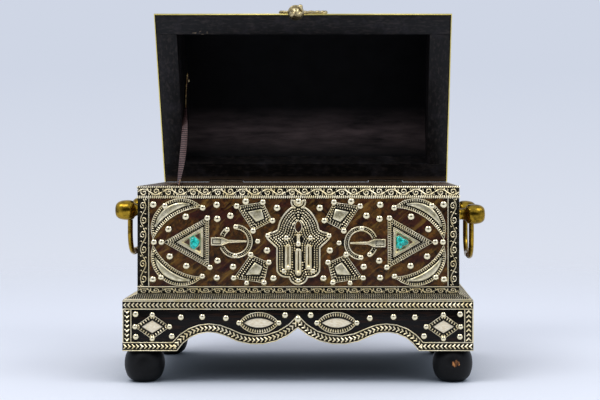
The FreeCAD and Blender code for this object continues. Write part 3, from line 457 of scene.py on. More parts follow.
def band_ends(loop):
    """Both ends of a straight strip's middle line, and half its width, from its outline."""
    low = Vector([min(p[i] for p in loop) for i in range(3)])
    high = Vector([max(p[i] for p in loop) for i in range(3)])
    size = high - low
    run = Vector((size.x, 0, 0)) if size.x > size.z else Vector((0, 0, size.z))
    middle = (low + high) / 2
    return middle - run / 2, middle + run / 2, min(size.x, size.z) / 2


def chevron_paths(node, turn):
    """Middle lines for the chevrons of one apron, in the direction they point, and lines for its beads."""
    loops = [found[0] for found in front_outlines(node, turn)]
    loops.sort(key=lambda loop: sum(p.x for p in loop))
    straight = [loop for loop in loops if len(loop) < 9]
    scallops = [loop for loop in loops if len(loop) > 8]
    rows, edges = [], []
    for loop, points_on in zip(straight, (False, False, True)):
        start, end, half = band_ends(loop)
        trim = (end - start).normalized() * chevron_trim
        rows.append([start + trim, end - trim] if points_on else [end - trim, start + trim])
        out = Vector(((end - start).z, 0, (end - start).x)).normalized() * (half - edge_bead)
        edges += [[start - out, end - out], [start + out, end + out]]
    for loop, block in zip(scallops, (0, -1)):
        first = min(range(len(loop)), key=lambda i: loop[i].x * 1000 + loop[i].z)
        ring = loop[first:] + loop[:first]
        low, high = ring[:len(ring) // 2], ring[len(ring) // 2:][::-1]
        middle = [(a + b) / 2 for a, b in zip(low, high)]
        middle[block].x += chevron_trim if block == 0 else -chevron_trim
        rows.append(smooth_line(middle[1:] if block == 0 else middle[:-1], 4))
        rows.append(middle[:2] if block == 0 else middle[:-3:-1])
        share = edge_bead / (low[block] - high[block]).length
        edges.append([a.lerp(b, share) for a, b in zip(low, high)])
        edges.append([b.lerp(a, share) for a, b in zip(low, high)])
    return rows, edges


punches = []
marks, wires = struck_marks(), drawn_wire()
chevron_line = [flat(-1.2, 2.3), flat(1.1, 0), flat(-1.2, -2.3)]
chevron = punch("chevron_punch", [ridge(chevron_line, width=2.0 * mm, height=0.75 * mm)])
chevron_rows, chevron_edges = [], []
for node, side in (("apron_front_strips", "front"), ("apron_rear_strips", "rear"),
                   ("apron_side_strips", "right"), ("apron_side_strips", "left")):
    rows, edges = chevron_paths(node, turns[side])
    chevron_rows += [laid(turns[side], row) for row in rows]
    chevron_edges += [laid(turns[side], edge) for edge in edges]
refinish(dark_silver, "apron_front_strips", "apron_rear_strips", "apron_side_strips")
chevrons = grow("chevrons", chevron_rows, marks, Pitch=chevron_pitch, Mark=chevron, Uneven=0.12,
                Finish=bright_silver)
settle(chevrons, "case", "silver_strip")
beads = grow("chevron_edge_beads", chevron_edges, wires, Radius=edge_bead, Sides=8, Finish=bright_silver)
settle(beads, "case", "silver_strip")

# Punched strips on the bevel
# The sloping ledge round the foot of the case is clad in nickel-silver strip with rows of punched dots.
# A bead runs along its lower edge, next to the chevrons.
dot_pitch = 2.0 * mm
dot_rows = 5
dot_sides = 6
dot_curve = [(0.5 * mm, -0.05 * mm), (0.36 * mm, 0.26 * mm), (0.1 * mm, 0.42 * mm)]
dot = punch("dot_punch", [turning(dot_curve, dot_sides)])
ledge_bead = 0.6 * mm


def bevel_paths():
    """Rows for the dots along each sloping face of the bevel strips, and a line along its lower edge."""
    faces, rows, edges = {}, [], []
    near = 0.3 * mm
    mesh = frame["nodes"]["bevel_strips"].data
    for side in mesh.polygons:
        if 0.2 < side.normal.z < 0.99:
            key = tuple(round(c, 2) for c in side.normal)
            faces.setdefault(key, []).extend(mesh.vertices[v].co for v in side.vertices)
    for normal, corners in faces.items():
        out = Vector(normal).normalized()
        run = out.cross(Vector((0, 0, 1)))
        top, low = max(p.z for p in corners), min(p.z for p in corners)
        upper = sorted((p for p in corners if p.z > top - near), key=lambda p: p.dot(run))
        lower = sorted((p for p in corners if p.z < low + near), key=lambda p: p.dot(run))
        for k in range(dot_rows + 1):
            share = (k + 0.2) / (dot_rows + 0.4)
            start = lower[0].lerp(upper[0], share) + run * (k % 2) * dot_pitch / 2
            line = [start, lower[-1].lerp(upper[-1], share)]
            (rows if k else edges).append((line, out, Vector((1, 1, 1)), False))
    return rows, edges


# Sooty nickel silver: the ledge gathers dirt, so its recesses are blacker than those of the upright strips.
# The same near-black serves as painted shade in the gaps round inlays and in the grooves of the pins.
black_silver, tree, shader, place = new_finish("sooty_silver_and_painted_shade", Metallic=0.6, Roughness=0.55)
soil = add(tree, "ShaderNodeTexNoise",
           {"Vector": place, "Scale": 1 / (6 * mm), "Detail": 5.0, "Roughness": 0.6})
tone = add(tree, "ShaderNodeMix", {0: soil.outputs[0], 6: linear("#060504"), 7: linear("#2c271b")},
           data_type="RGBA")
tree.links.new(tone.outputs[2], shader.inputs["Base Color"])

refinish(black_silver, "bevel_strips")
rows, edges = bevel_paths()
dots = grow("bevel_dots", rows, marks, Pitch=dot_pitch, Mark=dot, Uneven=0.3, Finish=bright_silver)
settle(dots, "case", "silver_strip")
ledge = grow("bevel_edge_bead", edges, wires, Radius=ledge_bead, Sides=8, Finish=bright_silver)
settle(ledge, "case", "silver_strip")

# Lozenges and lenses of the apron
# Hatched silver frames nailed to the front apron, with flat pieces of polished bone let into their windows.
# A dark line of painted shade is drawn in the gap round the bone.
tick_line = [flat(0, -0.5), flat(0, 0), flat(0, 0.5)]
tick = punch("hatch_punch", [ridge(tick_line, width=1.35 * mm, height=0.62 * mm)])
gap_shade_radius = 0.6 * mm
bone_ease = 0.9 * mm


def apart(point, loop):
    """How far a point lies from an outline."""
    best = 1.0
    for a, b in zip(loop, loop[1:] + loop[:1]):
        along = b - a
        share = min(max((point - a).dot(along) / along.length_squared, 0), 1)
        best = min(best, (point - a - along * share).length)
    return best


def finer(loop, steps=3):
    """The same outline with more points on its bends; corners stay sharp."""
    count = len(loop)
    corners = []
    for i in range(count):
        before, after = loop[i] - loop[i - 1], loop[(i + 1) % count] - loop[i]
        if before.angle(after) > math.radians(42):
            corners.append(i)
    if not corners:
        return smooth_line(loop[-1:] + loop + loop[:2], steps)[steps:-steps - 1]
    line = []
    for a, b in zip(corners, corners[1:] + [corners[0] + count]):
        line += smooth_line([loop[i % count] for i in range(a, b + 1)], steps)[:-1]
    return line


def framed(loops):
    """A frame's outline and its window's outline, with as many points, in the same order."""
    outer, inner = loops[0], loops[1][::-1]
    if len(outer) > 4:
        outer, inner = finer(outer), finer(inner)
    shifts = [inner[k:] + inner[:k] for k in range(len(inner))]
    return outer, min(shifts, key=lambda ring: sum((a - b).length for a, b in zip(outer, ring)))


def between(outer, inner, share):
    """An outline at a share of the way from a frame's outer edge to its window."""
    return [a.lerp(b, share) for a, b in zip(outer, inner)]


def hatched(outer, inner, share, width):
    """A row of hatching across a frame, a share of the way in; straight sides stop before the corners."""
    ring = between(outer, inner, share)
    spans = [Vector((1, apart(b, outer) * width / mm, 1)) for b in inner]
    front = Vector((0, -1, 0))
    if len(ring) > 4:
        return [(ring, front, spans, True)]
    rows = []
    for i in range(len(ring)):
        a, b = ring[i - 1], ring[i]
        trim = (b - a).normalized() * spans[i].y * 0.65 * mm
        rows.append(([a + trim, b - trim], front, [spans[i - 1], spans[i]], False))
    return rows


def chase(name, node, rows, rims, pitch, rim_radius=0.38 * mm):
    """Rubs the hatching and the rims of a node's frames bright on their blackened ground.

    Rows are pairs: the share of the way in where a row runs, and its width as a share of the frame's.
    """
    refinish(dark_silver, node)
    hatching, edges = [], []
    for loops in front_outlines(node, turns["front"]):
        outer, inner = framed(loops)
        for share, width in rows:
            hatching += hatched(outer, inner, share, width)
        edges += [laid(turns["front"], between(outer, inner, share), closed=True) for share in rims]
    ticks = grow(name + "_hatching", hatching, marks, Pitch=pitch, Mark=tick, Uneven=0.18,
                 Finish=bright_silver)
    settle(ticks, "case", "silver_plate")
    lines = grow(name + "_rims", edges, wires, Radius=rim_radius, Sides=6, Finish=bright_silver)
    settle(lines, "case", "silver_plate")


def paint_gap_shade(name, node, share):
    """Lays a dark line of painted shade along the windows of a node's frames, in the gap round an inlay."""
    gap_shade_paths = []
    for loops in front_outlines(node, turns["front"]):
        gap_shade_paths.append(laid(turns["front"], between(*framed(loops), share), closed=True))
    gap_shade = grow(name, gap_shade_paths, wires, Radius=gap_shade_radius, Sides=6, Finish=black_silver)
    settle(gap_shade, "case", "silver_plate")


# Polished bone: cream, with dark pores along its length, which are drawn coarse enough to show.
bone, tree, shader, place = new_finish("polished_bone", Roughness=0.34, IOR=1.54)
length = add(tree, "ShaderNodeMapping", {"Vector": place, "Scale": (0.25, 1.0, 1.0)})
pores = add(tree, "ShaderNodeTexNoise",
            {"Vector": length.outputs[0], "Scale": 1 / (0.9 * mm), "Detail": 5.0, "Roughness": 0.7})
dark = add(tree, "ShaderNodeMapRange", {0: pores.outputs[0], 1: 0.42, 2: 0.66})
cream = add(tree, "ShaderNodeMix", {0: dark.outputs[0], 6: linear("#fdf3da"), 7: linear("#e2cda2")},
            data_type="RGBA")
tree.links.new(cream.outputs[2], shader.inputs["Base Color"])

chase("apron_frame", "apron_frames", rows=((0.46, 0.62),), rims=(0.06,), pitch=2.3 * mm)
paint_gap_shade("apron_bone_gaps", "apron_frames", share=0.98)
inlays = eased("apron_bone_inlays", "apron_bones", bone_ease, bone, segments=3)
settle(inlays, "case", "bone", "apron_bones")

# Nails
# Round-headed nickel-silver nails hold the plates and fill the fields, driven until their rims touch.
# The heads are rubbed bright; a dome mirrors the dark side of the room in its middle.
nail_dome = math.radians(52)
nail_steps = 6
nail_sides = 14
# A head's height as a share of its radius, and how much it is enlarged to show as in the photograph.
nail_rise = 0.52
nail_swell = 1.06

# Polished nickel silver: a small clear mirror, warm white.
nail_silver, tree, shader, place = new_finish("domed_nail_silver", Metallic=1.0, Roughness=0.13)
stain = add(tree, "ShaderNodeTexNoise", {"Vector": place, "Scale": 1 / (2.5 * mm), "Detail": 3.0})
warm = add(tree, "ShaderNodeMix", {0: stain.outputs[0], 6: linear("#fff6d8"), 7: linear("#ecdcae")},
           data_type="RGBA")
tree.links.new(warm.outputs[2], shader.inputs["Base Color"])


def nail_heads():
    """Copies of one nail head on points, each turned to its own outward direction."""
    tree, start, end = new_tree("nail_heads", {"Head": "Object", "Finish": "Material"})
    spots = add(tree, "GeometryNodeMeshToPoints", {"Mesh": start.outputs["Geometry"]})
    outward = add(tree, "GeometryNodeInputNamedAttribute", {"Name": "outward"}, data_type="FLOAT_VECTOR")
    span = add(tree, "GeometryNodeInputNamedAttribute", {"Name": "span"}, data_type="FLOAT_VECTOR")
    turn = add(tree, "FunctionNodeAlignRotationToVector", {"Vector": outward.outputs[0]}, axis="Z")
    head = add(tree, "GeometryNodeObjectInfo", {"Object": start.outputs["Head"]})
    copies = add(tree, "GeometryNodeInstanceOnPoints", {
        "Points": spots.outputs[0], "Instance": head.outputs["Geometry"], "Rotation": turn.outputs[0],
        "Scale": span.outputs[0]})
    return end_tree(tree, start, end, copies.outputs[0])


def nail_places(node):
    """Where the nails of a CAD node stand: the middle of each base, its direction, radius and height."""
    work = bmesh.new()
    work.from_mesh(frame["nodes"][node].data)
    bmesh.ops.remove_doubles(work, verts=work.verts, dist=weld)
    todo, places = set(work.faces), []
    while todo:
        island, front = [], [todo.pop()]
        while front:
            side = front.pop()
            island.append(side)
            near = {f for e in side.edges for f in e.link_faces} & todo
            todo -= near
            front += near
        flats = {}
        for side in island:
            flats.setdefault(tuple(round(c, 2) for c in side.normal), []).append(side)
        base = max(flats.values(), key=lambda sides: sum(s.calc_area() for s in sides))
        rim = {v for s in base for v in s.verts}
        middle = sum((v.co for v in rim), Vector()) / len(rim)
        radius = max((v.co - middle).length for v in rim)
        height = max(abs((v.co - middle).dot(base[0].normal)) for s in island for v in s.verts)
        places.append((middle, -base[0].normal.copy(), radius, height))
    work.free()
    return sorted(places, key=lambda p: tuple(round(c, 5) for c in p[0]))


def drive_nails(name, node, body):
    """Drives a nail head into each place where the CAD node has one."""
    spots = []
    for middle, out, radius, height in nail_places(node):
        sunk = max(height - nail_rise * radius, 0)
        size = Vector((radius, radius, radius)) * nail_swell / mm
        spots.append(([middle + out * sunk], out, size, False))
    settle(grow(name, spots, heads, Head=nail_head, Finish=nail_silver), body, "nail", node)


nail_curve = [(mm, -0.2 * mm)]
for k in range(nail_steps, 0, -1):
    lean = nail_dome * k / nail_steps
    rise = math.cos(lean) - math.cos(nail_dome)
    nail_curve.append((math.sin(lean) / math.sin(nail_dome) * mm, rise / math.sin(nail_dome) * mm))
nail_head = punch("nail_head", [turning(nail_curve, nail_sides)])
heads = nail_heads()
drive_nails("apron_nail_heads", "apron_nails", "case")

# Case boards
# Front, back, sides and floor of the case, butted and glued; the inside and the rim are painted black.
# The lid has rubbed the paint on the rim brown, and its own front rail has a scrape.
rim_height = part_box("case_front_board")[1].z
rim_ease = 0.4 * mm
lid_scrape = (-0.107, 0.0235, 0.335)


def black_paint(name, grain):
    """Dull black oil paint; its brush marks are drawn out along the grain, and coarse enough to show.

    It is greyed by handling, scraped to the wood at one place, and brown beside the rim.
    """
    paint, tree, shader, place = new_finish(name, IOR=1.5, Specular_IOR_Level=0.24)
    along = add(tree, "ShaderNodeMapping", {"Vector": place, "Scale": grain})
    brush = add(tree, "ShaderNodeTexNoise",
                {"Vector": along.outputs[0], "Scale": 1 / (2.4 * mm), "Detail": 6.0, "Roughness": 0.65})
    scuff = add(tree, "ShaderNodeTexNoise",
                {"Vector": place, "Scale": 1 / (16 * mm), "Detail": 8.0, "Roughness": 0.72})
    greyed = add(tree, "ShaderNodeMapRange", {0: scuff.outputs[0], 1: 0.5, 2: 0.72})
    painted = add(tree, "ShaderNodeMix", {0: greyed.outputs[0], 6: linear("#0a090a"), 7: linear("#29262a")},
                  data_type="RGBA")
    lines = add(tree, "ShaderNodeMapRange", {0: brush.outputs[0], 1: 0.5, 2: 0.74, 4: 0.6})
    aged = add(tree, "ShaderNodeMix", {0: lines.outputs[0], 6: painted.outputs[2], 7: linear("#433b38")},
               data_type="RGBA")
    bump = add(tree, "ShaderNodeBump", {"Height": brush.outputs[0], "Distance": 0.12 * mm, "Strength": 0.4})
    rough = add(tree, "ShaderNodeMapRange", {0: scuff.outputs[0], 1: 0.3, 2: 0.7, 3: 0.4, 4: 0.65})
    from_scrape = add(tree, "ShaderNodeVectorMath", {0: place, 1: lid_scrape}, operation="SUBTRACT")
    drawn_out = add(tree, "ShaderNodeVectorMath", {0: from_scrape.outputs[0], 1: (0.22, 1.0, 1.0)},
                    operation="MULTIPLY")
    off_scrape = add(tree, "ShaderNodeVectorMath", {0: drawn_out.outputs[0]}, operation="LENGTH")
    splinters = add(tree, "ShaderNodeTexNoise",
                    {"Vector": along.outputs[0], "Scale": 1 / (1.1 * mm), "Detail": 3.0})
    torn = add(tree, "ShaderNodeMapRange", {0: splinters.outputs[0], 1: 0.52, 2: 0.72, 4: 3.4 * mm})
    scrape = add(tree, "ShaderNodeMath", {0: off_scrape.outputs["Value"], 1: torn.outputs[0]},
                 operation="LESS_THAN")
    scraped = add(tree, "ShaderNodeMix", {0: scrape.outputs[0], 6: aged.outputs[2], 7: linear("#8a7a66")},
                  data_type="RGBA")
    level = add(tree, "ShaderNodeSeparateXYZ", {0: place})
    off_rim = add(tree, "ShaderNodeMath", {0: level.outputs["Z"], 1: rim_height}, operation="SUBTRACT")
    beside = add(tree, "ShaderNodeMath", {0: off_rim.outputs[0]}, operation="ABSOLUTE")
    by_rim = add(tree, "ShaderNodeMapRange", {0: beside.outputs[0], 1: 7 * mm, 2: 2 * mm, 4: 0.85})
    rimmed = add(tree, "ShaderNodeMix", {0: by_rim.outputs[0], 6: scraped.outputs[2], 7: linear("#5a4838")},
                 data_type="RGBA")
    tree.links.new(rimmed.outputs[2], shader.inputs["Base Color"])
    tree.links.new(rough.outputs[0], shader.inputs["Roughness"])
    tree.links.new(bump.outputs[0], shader.inputs["Normal"])
    return paint


case_paint = black_paint("scuffed_black_paint", (0.3, 1.0, 1.0))
end_paint = black_paint("scuffed_black_paint_upright", (1.0, 1.0, 0.2))
refinish(case_paint, "case_left_board", "case_right_board", "case_rear_board", "case_floor_board")
front_board = eased("case_front_board_planed", "case_front_board", rim_ease, case_paint)
settle(front_board, "case", "black_wood", "case_front_board")

# Veneered fields
# Thin burl veneer, French polished and glued between the strips of the case and the lid.
# Dark red-brown with orange and black flecks; golden and dark streaks run slantwise through it.
burl, tree, shader, place = new_finish("polished_burl_veneer", IOR=1.5, Specular_IOR_Level=0.28)
cloud = add(tree, "ShaderNodeTexNoise",
            {"Vector": place, "Scale": 1 / (15 * mm), "Detail": 7.0, "Roughness": 0.6, "Distortion": 1.4})
figure = add(tree, "ShaderNodeMapRange", {0: cloud.outputs[0], 1: 0.36, 2: 0.64})
ground = add(tree, "ShaderNodeMix", {0: figure.outputs[0], 6: linear("#1b0d03"), 7: linear("#664312")},
             data_type="RGBA")
fleck = add(tree, "ShaderNodeTexNoise",
            {"Vector": place, "Scale": 1 / (6 * mm), "Detail": 6.0, "Roughness": 0.75, "Distortion": 2.0})
orange = add(tree, "ShaderNodeMapRange", {0: fleck.outputs[0], 1: 0.54, 2: 0.72})
flecked = add(tree, "ShaderNodeMix", {0: orange.outputs[0], 6: ground.outputs[2], 7: linear("#8c5216")},
              data_type="RGBA")
slanted = add(tree, "ShaderNodeMapping",
              {"Vector": place, "Rotation": (0, 0.6, 0), "Scale": (0.5, 1.0, 1.6)})
heart = add(tree, "ShaderNodeTexNoise",
            {"Vector": slanted.outputs[0], "Scale": 1 / (24 * mm), "Detail": 5.0})
red = add(tree, "ShaderNodeMapRange", {0: heart.outputs[0], 1: 0.46, 2: 0.6, 4: 0.85})
hearted = add(tree, "ShaderNodeMix", {0: red.outputs[0], 6: flecked.outputs[2], 7: linear("#380f0a")},
              data_type="RGBA")
drawn = add(tree, "ShaderNodeMapping",
            {"Vector": place, "Rotation": (0, -0.7, 0), "Scale": (5.0, 1.0, 1.0)}, vector_type="TEXTURE")
streak = add(tree, "ShaderNodeTexNoise",
             {"Vector": drawn.outputs[0], "Scale": 1 / (4.5 * mm), "Detail": 4.0, "Distortion": 0.5})
golden = add(tree, "ShaderNodeMapRange", {0: streak.outputs[0], 1: 0.54, 2: 0.7, 4: 0.6})
streaked = add(tree, "ShaderNodeMix", {0: golden.outputs[0], 6: hearted.outputs[2], 7: linear("#8a6a2c")},
               data_type="RGBA")
shadow = add(tree, "ShaderNodeMapRange", {0: streak.outputs[0], 1: 0.46, 2: 0.32, 4: 0.7})
figured = add(tree, "ShaderNodeMix", {0: shadow.outputs[0], 6: streaked.outputs[2], 7: linear("#160806")},
              data_type="RGBA")
black = add(tree, "ShaderNodeMapRange", {0: fleck.outputs[0], 1: 0.46, 2: 0.34})
veneer = add(tree, "ShaderNodeMix", {0: black.outputs[0], 6: figured.outputs[2], 7: linear("#100703")},
             data_type="RGBA")
polish = add(tree, "ShaderNodeMapRange", {0: cloud.outputs[0], 1: 0.3, 2: 0.7, 3: 0.26, 4: 0.42})
tree.links.new(veneer.outputs[2], shader.inputs["Base Color"])
tree.links.new(polish.outputs[0], shader.inputs["Roughness"])
refinish(burl, "front_field", "outer_fields", "lid_fields")

# Scroll strips of the case
# Wider nickel-silver strips frame every face of the case, pressed with a running scroll and a bright edge.
# The upper strip has a twisted edge along the rim, and another along the veneer.
scroll_length = 23 * mm
scroll_band = 11.3 * mm
scroll_offset = 0.06
strip_edge = 0.75 * mm
plain_edge = 0.5 * mm
twist_pitch = 2.0 * mm
# Half the width of the narrowest and of the widest strip that is pressed with scrolls.
least_half, most_half = 2 * mm, 9 * mm


def scroll_shapes(leafy):
    """One length of the running scroll: a waved stem, a curl in each hollow and small leaves between."""
    half = scroll_length / mm / 2
    stem = [flat(-half + half * k / 7, 2.55 * math.sin(math.pi * k / 7)) for k in range(15)]
    curl = []
    for k in range(13):
        angle = math.radians(40 - 36 * k)
        reach = 3.0 - 0.21 * k
        curl.append((half / 2 + reach * math.cos(angle), reach * math.sin(angle) - 0.45))
    leaf = [(-0.2, 1.1), (-1.0, 2.1), (-0.5, 3.1)]
    bud = [(half - 0.4, 1.3), (half - 0.1, 2.3), (half - 0.9, 3.1)]
    lines = [curl, leaf, bud]
    if leafy:
        lines.append([(0.6, -0.2), (0.9, -1.4), (0.2, -2.6)])
        lines.append([(half - 2.6, 0.6), (half - 2.0, 1.9), (half - 2.9, 3.0)])
        lines.append([(1.6, 1.6), (2.2, 2.6), (3.4, 3.2)])
    broad = 1.1 if leafy else 0.92
    shapes = [ridge(stem, broad * mm, 0.5 * mm)]
    for line in lines:
        # The wave rises on the left of each length, so the curl that belongs under it is drawn there.
        shapes.append(ridge([flat(-x, y) for x, y in line], broad * 0.9 * mm, 0.45 * mm))
        shapes.append(ridge([flat(x, -y) for x, y in line], broad * 0.9 * mm, 0.45 * mm))
    return shapes


scroll = punch("scroll_punch", scroll_shapes(False))
leafy_scroll = punch("leafy_scroll_punch", scroll_shapes(True))
twist_line = [flat(-0.7, -0.8), flat(0, 0), flat(0.7, 0.8)]
twist = punch("twist_punch", [ridge(twist_line, width=1.5 * mm, height=0.6 * mm)])


def scroll_paths(loops, turn):
    """Lines for the upright and level scrolls, the twisted and the plain edges of the strips of a face."""
    upright, level, twists, plain = [], [], [], []
    corners = [p for loop in loops for p in loop]
    middle = Vector([(min(p[i] for p in corners) + max(p[i] for p in corners)) / 2 for i in range(3)])
    for loop in loops:
        start, end, half = band_ends(loop)
        if not least_half < half < most_half:
            continue
        run = (end - start).normalized()
        inward = Vector((run.z, 0, run.x))
        if inward.dot(middle - start) < 0:
            inward = -inward
        sides = []
        for side in (-inward, inward):
            edge = sorted((p for p in loop if (p - start).dot(side) > half / 2), key=lambda p: p.dot(run))
            sides.append([p - side * strip_edge for p in (edge[0], edge[-1])])
        start, end = [(a + b) / 2 - inward * half * scroll_offset for a, b in zip(*sides)]
        count = max(1, int((end - start).length / scroll_length + 0.001))
        step = (end - start) / count
        # The line runs a hair past the middle of the last length, so that this gets its scroll too.
        line = [start + step * 0.5, end - step * 0.499]
        scroll_size = step.length / scroll_length, half * 2 / scroll_band, 1
        (level if abs(run.x) > 0.5 else upright).append(laid(turn, line, scroll_size))
        if inward.z < -0.5:
            twists.append(laid(turn, sides[0]))
            twists.append(laid(turn, [p - inward * plain_edge for p in sides[1]], (1, 1.5, 1)))
        else:
            plain.append(laid(turn, sides[1]))
    return upright, level, twists, plain


def press_strips(name, body, upright, level, twists, plain):
    """Rubs the raised work of a set of scroll strips bright."""
    for part, paths, mark, pitch, uneven in (("_upright_scrolls", upright, scroll, scroll_length, 0.05),
                                             ("_level_scrolls", level, leafy_scroll, scroll_length, 0.05),
                                             ("_twisted_edges", twists, twist, twist_pitch, 0.15)):
        relief = grow(name + part, paths, marks, Pitch=pitch, Mark=mark, Uneven=uneven,
                      Finish=bright_silver)
        settle(relief, body, "silver_strip")
    edges = grow(name + "_plain_edges", plain, wires, Radius=plain_edge, Sides=8, Finish=bright_silver)
    settle(edges, body, "silver_strip")


pressed = [], [], [], []
for node, side in (("front_strips", "front"), ("rear_strips", "rear"),
                   ("side_strips", "right"), ("side_strips", "left")):
    loops = [found[0] for found in front_outlines(node, turns[side])]
    for kept, new in zip(pressed, scroll_paths(loops, turns[side])):
        kept.extend(new)
refinish(dark_silver, "front_strips", "rear_strips", "side_strips")
press_strips("case", "case", *pressed)

# Crescents
# Four horn-shaped plates in the corners of the front, hatched like the other frames and nailed.
# A crescent of smooth silver sheet is domed out of the middle of each.
crescent_slope = 1.9 * mm
crescent_rise = 0.8 * mm
inlay_depth = 0.5 * mm

# Smooth silver sheet: pale and softly dented, with yellow-grey tarnish.
plain_silver, tree, shader, place = new_finish("smooth_silver_sheet", Metallic=1.0, Roughness=0.38)
dents = add(tree, "ShaderNodeTexNoise",
            {"Vector": place, "Scale": 1 / (4.5 * mm), "Detail": 4.0, "Roughness": 0.6})
tarnish = add(tree, "ShaderNodeMapRange", {0: dents.outputs[0], 1: 0.35, 2: 0.68})
tone = add(tree, "ShaderNodeMix", {0: tarnish.outputs[0], 6: linear("#fff4d2"), 7: linear("#c9bd92")},
           data_type="RGBA")
bump = add(tree, "ShaderNodeBump", {"Height": dents.outputs[0], "Distance": 0.35 * mm, "Strength": 0.5})
tree.links.new(tone.outputs[2], shader.inputs["Base Color"])
tree.links.new(bump.outputs[0], shader.inputs["Normal"])


def pillow(loop, slope, rise, depth):
    """Vertices and faces of a plate with softly rounded edges, from its front outline."""
    count = len(loop)
    verts = []
    for back, height in ((0.0, -depth), (0.0, 0.0), (0.2, 0.5), (0.55, 0.85), (1.0, 1.0)):
        for i, p in enumerate(loop):
            before, after = (p - loop[i - 1]).normalized(), (loop[(i + 1) % count] - p).normalized()
            inward = Vector((-(before + after).z, 0, (before + after).x)).normalized()
            out = Vector((0, -height if height < 0 else -height * rise, 0))
            verts.append(p + inward * slope * back + out)
    faces = skin(5, count)
    top = list(range(4 * count, 5 * count))
    faces += [(top[0], top[1], top[-1]), (top[count // 2 - 1], top[count // 2], top[count // 2 + 1])]
    faces += [(top[k], top[k + 1], top[-k - 1], top[-k]) for k in range(1, count // 2 - 1)]
    return verts, faces


chase("crescent", "crescent_frames", rows=((0.42, 0.66),), rims=(0.05,), pitch=2.1 * mm)
shapes = [(Matrix.Identity(4), pillow(finer(loops[0]), crescent_slope, crescent_rise, inlay_depth))
          for loops in front_outlines("crescent_inlays", turns["front"])]
crescents = new_piece("crescent_silver", gather(shapes), plain_silver)
settle(crescents, "case", "plain_silver", "crescent_inlays")

# Kites
# Four-sided plates above and below the brooches, with two rows of hatching, nailed at their corners.
# Smooth silver sheet is raised in their windows like a cushion, with painted shade in the gap round it.
kite_slope = 3.4 * mm
kite_rise = 1.2 * mm
chase("kite", "kite_frames", rows=((0.28, 0.36), (0.68, 0.32)), rims=(0.02,), pitch=2.1 * mm)
paint_gap_shade("kite_gaps", "kite_frames", share=0.97)
shapes = [(Matrix.Identity(4), pillow(loops[0], kite_slope, kite_rise, inlay_depth))
          for loops in front_outlines("kite_plates", turns["front"])]
kites = new_piece("kite_silver", gather(shapes), plain_silver)
settle(kites, "case", "plain_silver", "kite_plates")

# Triangles with stones
# A pointed plate on each side, with a hatched and a beaded row, and a raised bezel round a brown ground.
# A tumbled turquoise is set in each bezel: a rounded nugget on the left, a three-cornered one on the right.
bezel_ease = 0.7 * mm
bezel_edge = 0.45 * mm
collar_radius = 0.4 * mm
# Shares of the way in where a bezel's bright edges run, and where its lip and its slope end.
bezel_lines_at = (0.2, 0.85)
bezel_lip, bezel_slope = 0.08, 0.26

# Brown resin: dull, mottled light and dark.
brown_ground, tree, shader, place = new_finish("brown_resin_ground", Roughness=0.5, IOR=1.5)
mottle = add(tree, "ShaderNodeTexNoise", {"Vector": place, "Scale": 1 / (2.2 * mm), "Detail": 5.0})
earth = add(tree, "ShaderNodeMix", {0: mottle.outputs[0], 6: linear("#2c170d"), 7: linear("#65442a")},
            data_type="RGBA")
tree.links.new(earth.outputs[2], shader.inputs["Base Color"])
refinish(brown_ground, "triangle_grounds")

chase("triangle", "triangle_frames", rows=((0.29, 0.42),), rims=(0.04, 0.54), pitch=2.1 * mm,
      rim_radius=0.5 * mm)
bead_rows = []
for loops in front_outlines("triangle_frames", turns["front"]):
    for points, out, _, closed in hatched(*framed(loops), share=0.74, width=0.3):
        bead_rows.append((points, out, Vector((1, 1, 1)), closed))
beads = grow("triangle_beads", bead_rows, marks, Pitch=dot_pitch, Mark=dot, Uneven=0.1,
             Finish=bright_silver)
settle(beads, "case", "silver_plate")
bezels = eased("stone_bezels", "triangle_bezels", bezel_ease, plain_silver, segments=3)
settle(bezels, "case", "silver_plate", "triangle_bezels")

ground_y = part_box("triangle_grounds")[0].y
slope_verts, slope_faces, bezel_lines = [], [], []
for loops in front_outlines("triangle_bezels", turns["front"]):
    outer, inner = framed(loops)
    for share in bezel_lines_at:
        bezel_lines.append(laid(turns["front"], between(outer, inner, share), closed=True))
    middle = sum(inner, Vector()) / len(inner)
    slope_faces += skin(3, len(inner), len(slope_verts))
    slope_verts += inner
    for share, y in ((bezel_lip, inner[0].y), (bezel_slope, ground_y - 0.05 * mm)):
        slope_verts += [Vector((p.x, y, p.z)).lerp(Vector((middle.x, y, middle.z)), share) for p in inner]
slopes = new_piece("bezel_slopes", (slope_verts, slope_faces), plain_silver, crease=20)
settle(slopes, "case", "silver_plate")
edges = grow("bezel_edges", bezel_lines, wires, Radius=bezel_edge, Sides=8, Finish=bright_silver)
settle(edges, "case", "silver_plate")

# Turquoise: blue-green with dark veins, waxy polish.
turquoise, tree, shader, place = new_finish("polished_turquoise", Roughness=0.22, IOR=1.61)
bent = add(tree, "ShaderNodeTexNoise",
           {"Vector": place, "Scale": 1 / (3.4 * mm), "Detail": 3.0, "Distortion": 1.2})
ridged = add(tree, "ShaderNodeMath", {0: bent.outputs[0], 1: 0.5}, operation="SUBTRACT")
crack = add(tree, "ShaderNodeMath", {0: ridged.outputs[0]}, operation="ABSOLUTE")
veins = add(tree, "ShaderNodeMapRange", {0: crack.outputs[0], 1: 0.008, 2: 0.03})
tint = add(tree, "ShaderNodeTexNoise", {"Vector": place, "Scale": 1 / (3 * mm), "Detail": 3.0})
patchy = add(tree, "ShaderNodeMapRange", {0: tint.outputs[0], 1: 0.4, 2: 0.6})
blue = add(tree, "ShaderNodeMix", {0: patchy.outputs[0], 6: linear("#009c8b"), 7: linear("#1cecdf")},
           data_type="RGBA")
veined = add(tree, "ShaderNodeMix", {0: veins.outputs[0], 6: linear("#03211f"), 7: blue.outputs[2]},
             data_type="RGBA")
tree.links.new(veined.outputs[2], shader.inputs["Base Color"])

stone_rise = 3.0 * mm
stone_lump = 3.4 * mm
lump_height = 0.5 * mm
